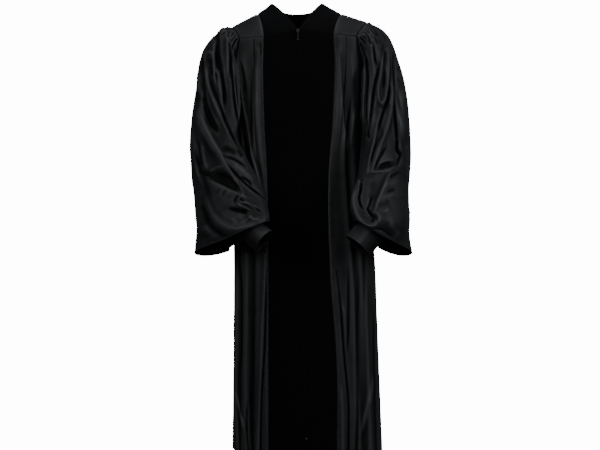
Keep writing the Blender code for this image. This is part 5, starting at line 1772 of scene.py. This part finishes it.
# %% Lay the zip chain
CHAIN_TOP, CHAIN_FOOT, LOOP_PITCH = 0.0990, 1.1142, 0.0014
LOOP_REACH, LOOP_THICK = 0.0017, 0.00048
LOOP_LOW, LOOP_RISE, LOOP_END, LOOP_CORNERS = 0.0004, 0.00035, 0.72, 6
LOOP_BACK, LOOP_OFF = 0.55, 0.0002
# share of the reach, share of the rise
LOOP_LINE = ((-0.30, 0.2), (0.15, 0.75), (0.55, 1.0), (0.90, 0.62), (1.0, 0.0))
MIDDLE_STEP = 0.004


def middle_frame(drop):
    """The point, outward direction and downward direction of the cloth on the middle line."""
    levels = np.array([drop - MIDDLE_STEP, drop, drop + MIDDLE_STEP])
    above, here, below = body_at(turn_at_x(band_x(levels, MIDDLE), levels), levels, folded=False)
    down = Vector(below - above).normalized()
    out = Vector((1, 0, 0)).cross(down).normalized()
    return Vector(here), out if out.y < 0 else -out, down


def on_cloth(point, out, down):
    """A frame with x across, y outwards from the cloth and z up the cloth."""
    up = -down
    across = out.cross(up).normalized()
    columns = (across, out, up, point)
    return Matrix([[column[i] for column in columns] for i in range(3)] + [[0, 0, 0, 1]])


def chain_loop(side):
    """Points and faces of one loop, from its tape out over the middle and down again."""
    points, faces = [], []
    count, last = LOOP_CORNERS, LOOP_CORNERS * (len(LOOP_LINE) - 1)
    for i, (reach, rise) in enumerate(LOOP_LINE):
        thick = LOOP_THICK * (LOOP_END if i * count == last else 1.0)
        x = side * (LOOP_REACH * (LOOP_BACK - reach) + LOOP_OFF)
        for turn in (2 * math.pi * corner / count for corner in range(count)):
            y = LOOP_LOW + LOOP_RISE * rise + thick * math.cos(turn)
            points.append((x, y, thick * math.sin(turn)))
    for start in range(0, last, count):
        for c in range(count):
            d = (c + 1) % count
            face = (start + c, start + d, start + count + d, start + count + c)
            faces.append(face if side > 0 else face[::-1])
    ends = (tuple(range(count - 1, -1, -1)), tuple(range(last, last + count)))
    faces += ends if side > 0 else tuple(end[::-1] for end in ends)
    return np.array(points), faces


def lay_chain():
    points, faces, count = [], [], 0
    for i, drop in enumerate(np.arange(CHAIN_TOP, CHAIN_FOOT, LOOP_PITCH / 2)):
        loop, loop_faces = chain_loop(1 if i % 2 else -1)
        place = np.array(on_cloth(*middle_frame(drop)))
        points.append(loop @ place[:3, :3].T + place[:3, 3])
        faces += [tuple(count + v for v in face) for face in loop_faces]
        count += len(loop)
    mesh = bpy.data.meshes.new("zip_coil_chain")
    mesh.from_pydata(np.concatenate(points), [], faces)
    mesh.shade_smooth()
    mesh.materials.append(zip_coil)
    sewn_in(link(bpy.data.objects.new("zip_coil_chain", mesh)), "robe", "zip_chain", "zip_chain")


lay_chain()

# %% Finish the tapes and the bottom stop
FINISHES = {"zip_tape_right": zip_tape, "zip_tape_left": zip_tape, "zip_stop": zip_enamel}
for node_name, finish in FINISHES.items():
    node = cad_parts[node_name]
    node.data.materials.clear()
    node.data.materials.append(finish)
    print(node_name, "is finished in", finish.name)

# %% [markdown]
# ## Slider and pull
# The slider rides at the top of the zip: two shield-shaped plates, a bridge over the front one, and a
# pull that hangs from the bridge. Outlines are drawn, thickened and bevelled, as a die would cast them.
# Both are enamelled black, and fingers have rubbed the slider's front and the end of the pull bright. The
# pull turns on its bar under the bridge, so it rides on its own body.

# %% Helpers that cast a hard piece
PER_METRE = 10000  # outlines are in tenths of a millimetre
SHARP_ANGLE = 40


def mirrored_outline(half):
    """A closed outline from the x and z of its right half, top to bottom."""
    half = [(x / PER_METRE, z / PER_METRE) for x, z in half]
    return half + [(-x, z) for x, z in reversed(half)]


def cast(mesh_build, outline, low, high, edge, steps=3):
    """An outline in x and z, thickened from low to high in y, with rounded edges."""
    verts = [mesh_build.verts.new((x, low, z)) for x, z in outline]
    face = mesh_build.faces.new(verts)
    moved = bmesh.ops.extrude_face_region(mesh_build, geom=[face])["geom"]
    top = [v for v in moved if isinstance(v, bmesh.types.BMVert)]
    bmesh.ops.translate(mesh_build, vec=(0, high - low, 0), verts=top)
    own = set(verts) | set(top)
    edges = [e for e in mesh_build.edges if e.verts[0] in own and e.verts[1] in own]
    rims = [e for e in edges if abs(e.verts[0].co.y - e.verts[1].co.y) < 1e-7]
    bmesh.ops.bevel(mesh_build, geom=rims, offset=edge, segments=steps, affect="EDGES", clamp_overlap=True)


def bar(mesh_build, line, across, half_wide, half_thick, sides, closed):
    """A rounded bar along a line of points, closed into a ring or shut at both ends."""
    line, across = [Vector(p) for p in line], Vector(across)
    turns = [2 * math.pi * c / sides for c in range(sides)]
    rings = []
    for i, point in enumerate(line):
        if closed:
            before, after = line[i - 1], line[(i + 1) % len(line)]
        else:
            before, after = line[max(i - 1, 0)], line[min(i + 1, len(line) - 1)]
        other = (after - before).normalized().cross(across).normalized()
        places = [
            point + across * half_wide * math.cos(turn) + other * half_thick * math.sin(turn)
            for turn in turns
        ]
        rings.append([mesh_build.verts.new(place) for place in places])
    for first, second in zip(rings, rings[1:] + (rings[:1] if closed else [])):
        for c in range(sides):
            d = (c + 1) % sides
            mesh_build.faces.new((first[c], first[d], second[d], second[c]))
    if not closed:
        mesh_build.faces.new(rings[0][::-1])
        mesh_build.faces.new(rings[-1])


def finished(mesh_build, name, placed, is_rubbed):
    """The built mesh as an object, with its faces turned outwards. is_rubbed says which of them shine."""
    bmesh.ops.recalc_face_normals(mesh_build, faces=mesh_build.faces)
    for face in mesh_build.faces:
        face.material_index = int(is_rubbed(face.calc_center_median()))
    mesh = bpy.data.meshes.new(name)
    mesh_build.to_mesh(mesh)
    mesh_build.free()
    mesh.transform(placed)
    mesh.shade_smooth()
    mesh.set_sharp_from_angle(angle=math.radians(SHARP_ANGLE))
    mesh.materials.append(zip_enamel)
    mesh.materials.append(zip_metal)
    return link(bpy.data.objects.new(name, mesh))


print("outlines are drawn in parts of a metre:", PER_METRE)

# %% Cast the slider
SLIDER_TOP_DROP, SLIDER_LENGTH = 0.0898, 0.0125
PLATE_FRONT, PLATE_BACK, PLATE_WALL, PLATE_EDGE = 0.0015, 0.0024, 0.0012, 0.00035
BRIDGE_ROOM, BRIDGE_WIDE, BRIDGE_WALL, BRIDGE_SUNK = 0.0019, 0.0016, 0.0010, 0.0002
NECK_SUNK, NECK_EDGE, RUBBED_FROM = 0.0003, 0.0002, 0.0008
SLIDER_OUTLINE = (
    (6, 62), (24, 62), (37, 55), (42, 40), (41, 10), (34, -28), (31, -52), (24, -60), (10, -62)
)
slider_place = on_cloth(*middle_frame(SLIDER_TOP_DROP + SLIDER_LENGTH / 2))
slider_build = bmesh.new()
outline = mirrored_outline(SLIDER_OUTLINE)
cast(slider_build, outline, PLATE_FRONT, PLATE_FRONT + PLATE_WALL, PLATE_EDGE)
cast(slider_build, outline, -PLATE_BACK - PLATE_WALL, -PLATE_BACK, PLATE_EDGE)
neck = [(-0.0011, 0.0056), (0.0011, 0.0056), (0.0007, 0.0014), (-0.0007, 0.0014)]
cast(slider_build, neck, -PLATE_BACK - NECK_SUNK, PLATE_FRONT + NECK_SUNK, NECK_EDGE, 1)
low = PLATE_FRONT + PLATE_WALL - BRIDGE_SUNK
high = PLATE_FRONT + PLATE_WALL + BRIDGE_ROOM + BRIDGE_WALL / 2
bridge = [
    (0, low, 0.0030), (0, low + 0.0012, 0.0030), (0, high - 0.0004, 0.0027),
    (0, high, 0.0019), (0, high + 0.0001, 0.0), (0, high, -0.0019),
    (0, high - 0.0004, -0.0027), (0, low + 0.0012, -0.0030), (0, low, -0.0030),
]
bar(slider_build, bridge, (1, 0, 0), BRIDGE_WIDE / 2, BRIDGE_WALL / 2, 12, False)
zip_slider = finished(
    slider_build,
    "zip_cast_slider",
    slider_place,
    lambda at: at.y > PLATE_FRONT and abs(at.z) > RUBBED_FROM,
)
sewn_in(zip_slider, "robe", "zip_metal", "zip_slider")

# %% Cast the pull
HINGE_OUT = PLATE_FRONT + PLATE_WALL + BRIDGE_ROOM / 2
EYE_BAR, PULL_THICK, PULL_EDGE, PULL_RUBBED_BELOW = 0.00055, 0.0011, 0.0003, -0.0232
RIM_SUNK, RIM_HIGH, RIM_EDGE = 0.0001, 0.00035, 0.0002
TAB_HALF = ((8, -54), (17, -62), (21, -90), (22, -170), (25, -215), (25, -243), (19, -252), (8, -254))
RIM_HALF = ((6, -205), (17, -208), (20, -220), (20, -240), (14, -247), (6, -248))
hinge_place = slider_place @ Matrix.Translation((0, HINGE_OUT, 0))
pull_build = bmesh.new()
eye_frame = [
    (0, 0, 0.00055), (0.0018, 0, 0.00055), (0.0026, 0, 0.0002), (0.0029, 0, -0.0008),
    (0.0027, 0, -0.0042), (0.0022, 0, -0.0056), (0.0, 0, -0.0058), (-0.0022, 0, -0.0056),
    (-0.0027, 0, -0.0042), (-0.0029, 0, -0.0008), (-0.0026, 0, 0.0002), (-0.0018, 0, 0.00055),
]
bar(pull_build, eye_frame, (0, 1, 0), EYE_BAR, EYE_BAR, 10, True)
half = PULL_THICK / 2
cast(pull_build, mirrored_outline(TAB_HALF), -half, half, PULL_EDGE)
cast(pull_build, mirrored_outline(RIM_HALF), half - RIM_SUNK, half + RIM_HIGH, RIM_EDGE, 2)
zip_pull = finished(
    pull_build, "zip_cast_pull", hinge_place, lambda at: at.y > 0 and at.z < PULL_RUBBED_BELOW
)
sewn_in(zip_pull, "zip_pull", "zip_metal", "zip_pull")

# %% [markdown]
# ## Say what each cloth was cut to
# A sheet of cloth keeps the size that it was cut to, however it hangs, so each piece is declared with the
# width and length of its cut before it was folded, gathered and sewn in; the tables give its area too.
# Turnings are counted. For sleeves and cuffs, the width goes all the way round.

SIDE_CUTS = {
    "satin_front": (0.270, 1.180, 0.240, "hung", ("satin_yoke_front",)),
    "satin_yoke_front": (0.100, 0.115, 0.0098, "stretched", ("velvet_band",)),
    "velvet_band": (0.120, 1.270, 0.130, "hung", ("satin_yoke_front",)),
    "satin_sleeve": (0.800, 0.700, 0.390, "gathered", ("satin_yoke_front", "satin_front")),
    "satin_inner_sleeve": (0.220, 0.115, 0.0240, "hung", ("satin_sleeve",)),
    "satin_cuff": (0.240, 0.105, 0.0232, "hung", ("satin_inner_sleeve",)),
}
MIDDLE_CUTS = {
    "velvet_neck_band": (0.052, 0.360, 0.0170, "laid", ("satin_yoke_back",)),
    "satin_yoke_back": (0.400, 0.170, 0.0460, "laid", ("satin_yoke_front_right", "satin_yoke_front_left")),
    "satin_back": (0.980, 1.140, 0.770, "gathered", ("satin_yoke_back",)),
}


def declare(name, width, length, held):
    """Says what one piece of cloth was cut to, and what holds it up."""
    print(f"{name}: cut {width * 1000:.0f} x {length * 1000:.0f} mm, {held}")


for name, (width, length, area, held, holders) in SIDE_CUTS.items():
    for end in SIDE_NAME.values():
        declare(f"{name}_{end}", width, length, held)
for name, (width, length, area, held, holders) in MIDDLE_CUTS.items():
    declare(name, width, length, held)
TAPE_WIDTH, TAPE_LENGTH = 0.014, 1.030
for end in SIDE_NAME.values():
    declare(f"zip_tape_{end}", TAPE_WIDTH, TAPE_LENGTH, "stretched")

# %% [markdown]
# ## Sizes at the end
# The cloth may stand a few millimetres proud of the model. Both boxes are written down, so that they can
# be compared.

# %% Print the sizes and finish
visual_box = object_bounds()
for label, (low, high) in (("model", cad_box), ("looks", visual_box)):
    print(label, [round(1000 * (high[i] - low[i]), 1) for i in range(3)], "mm")
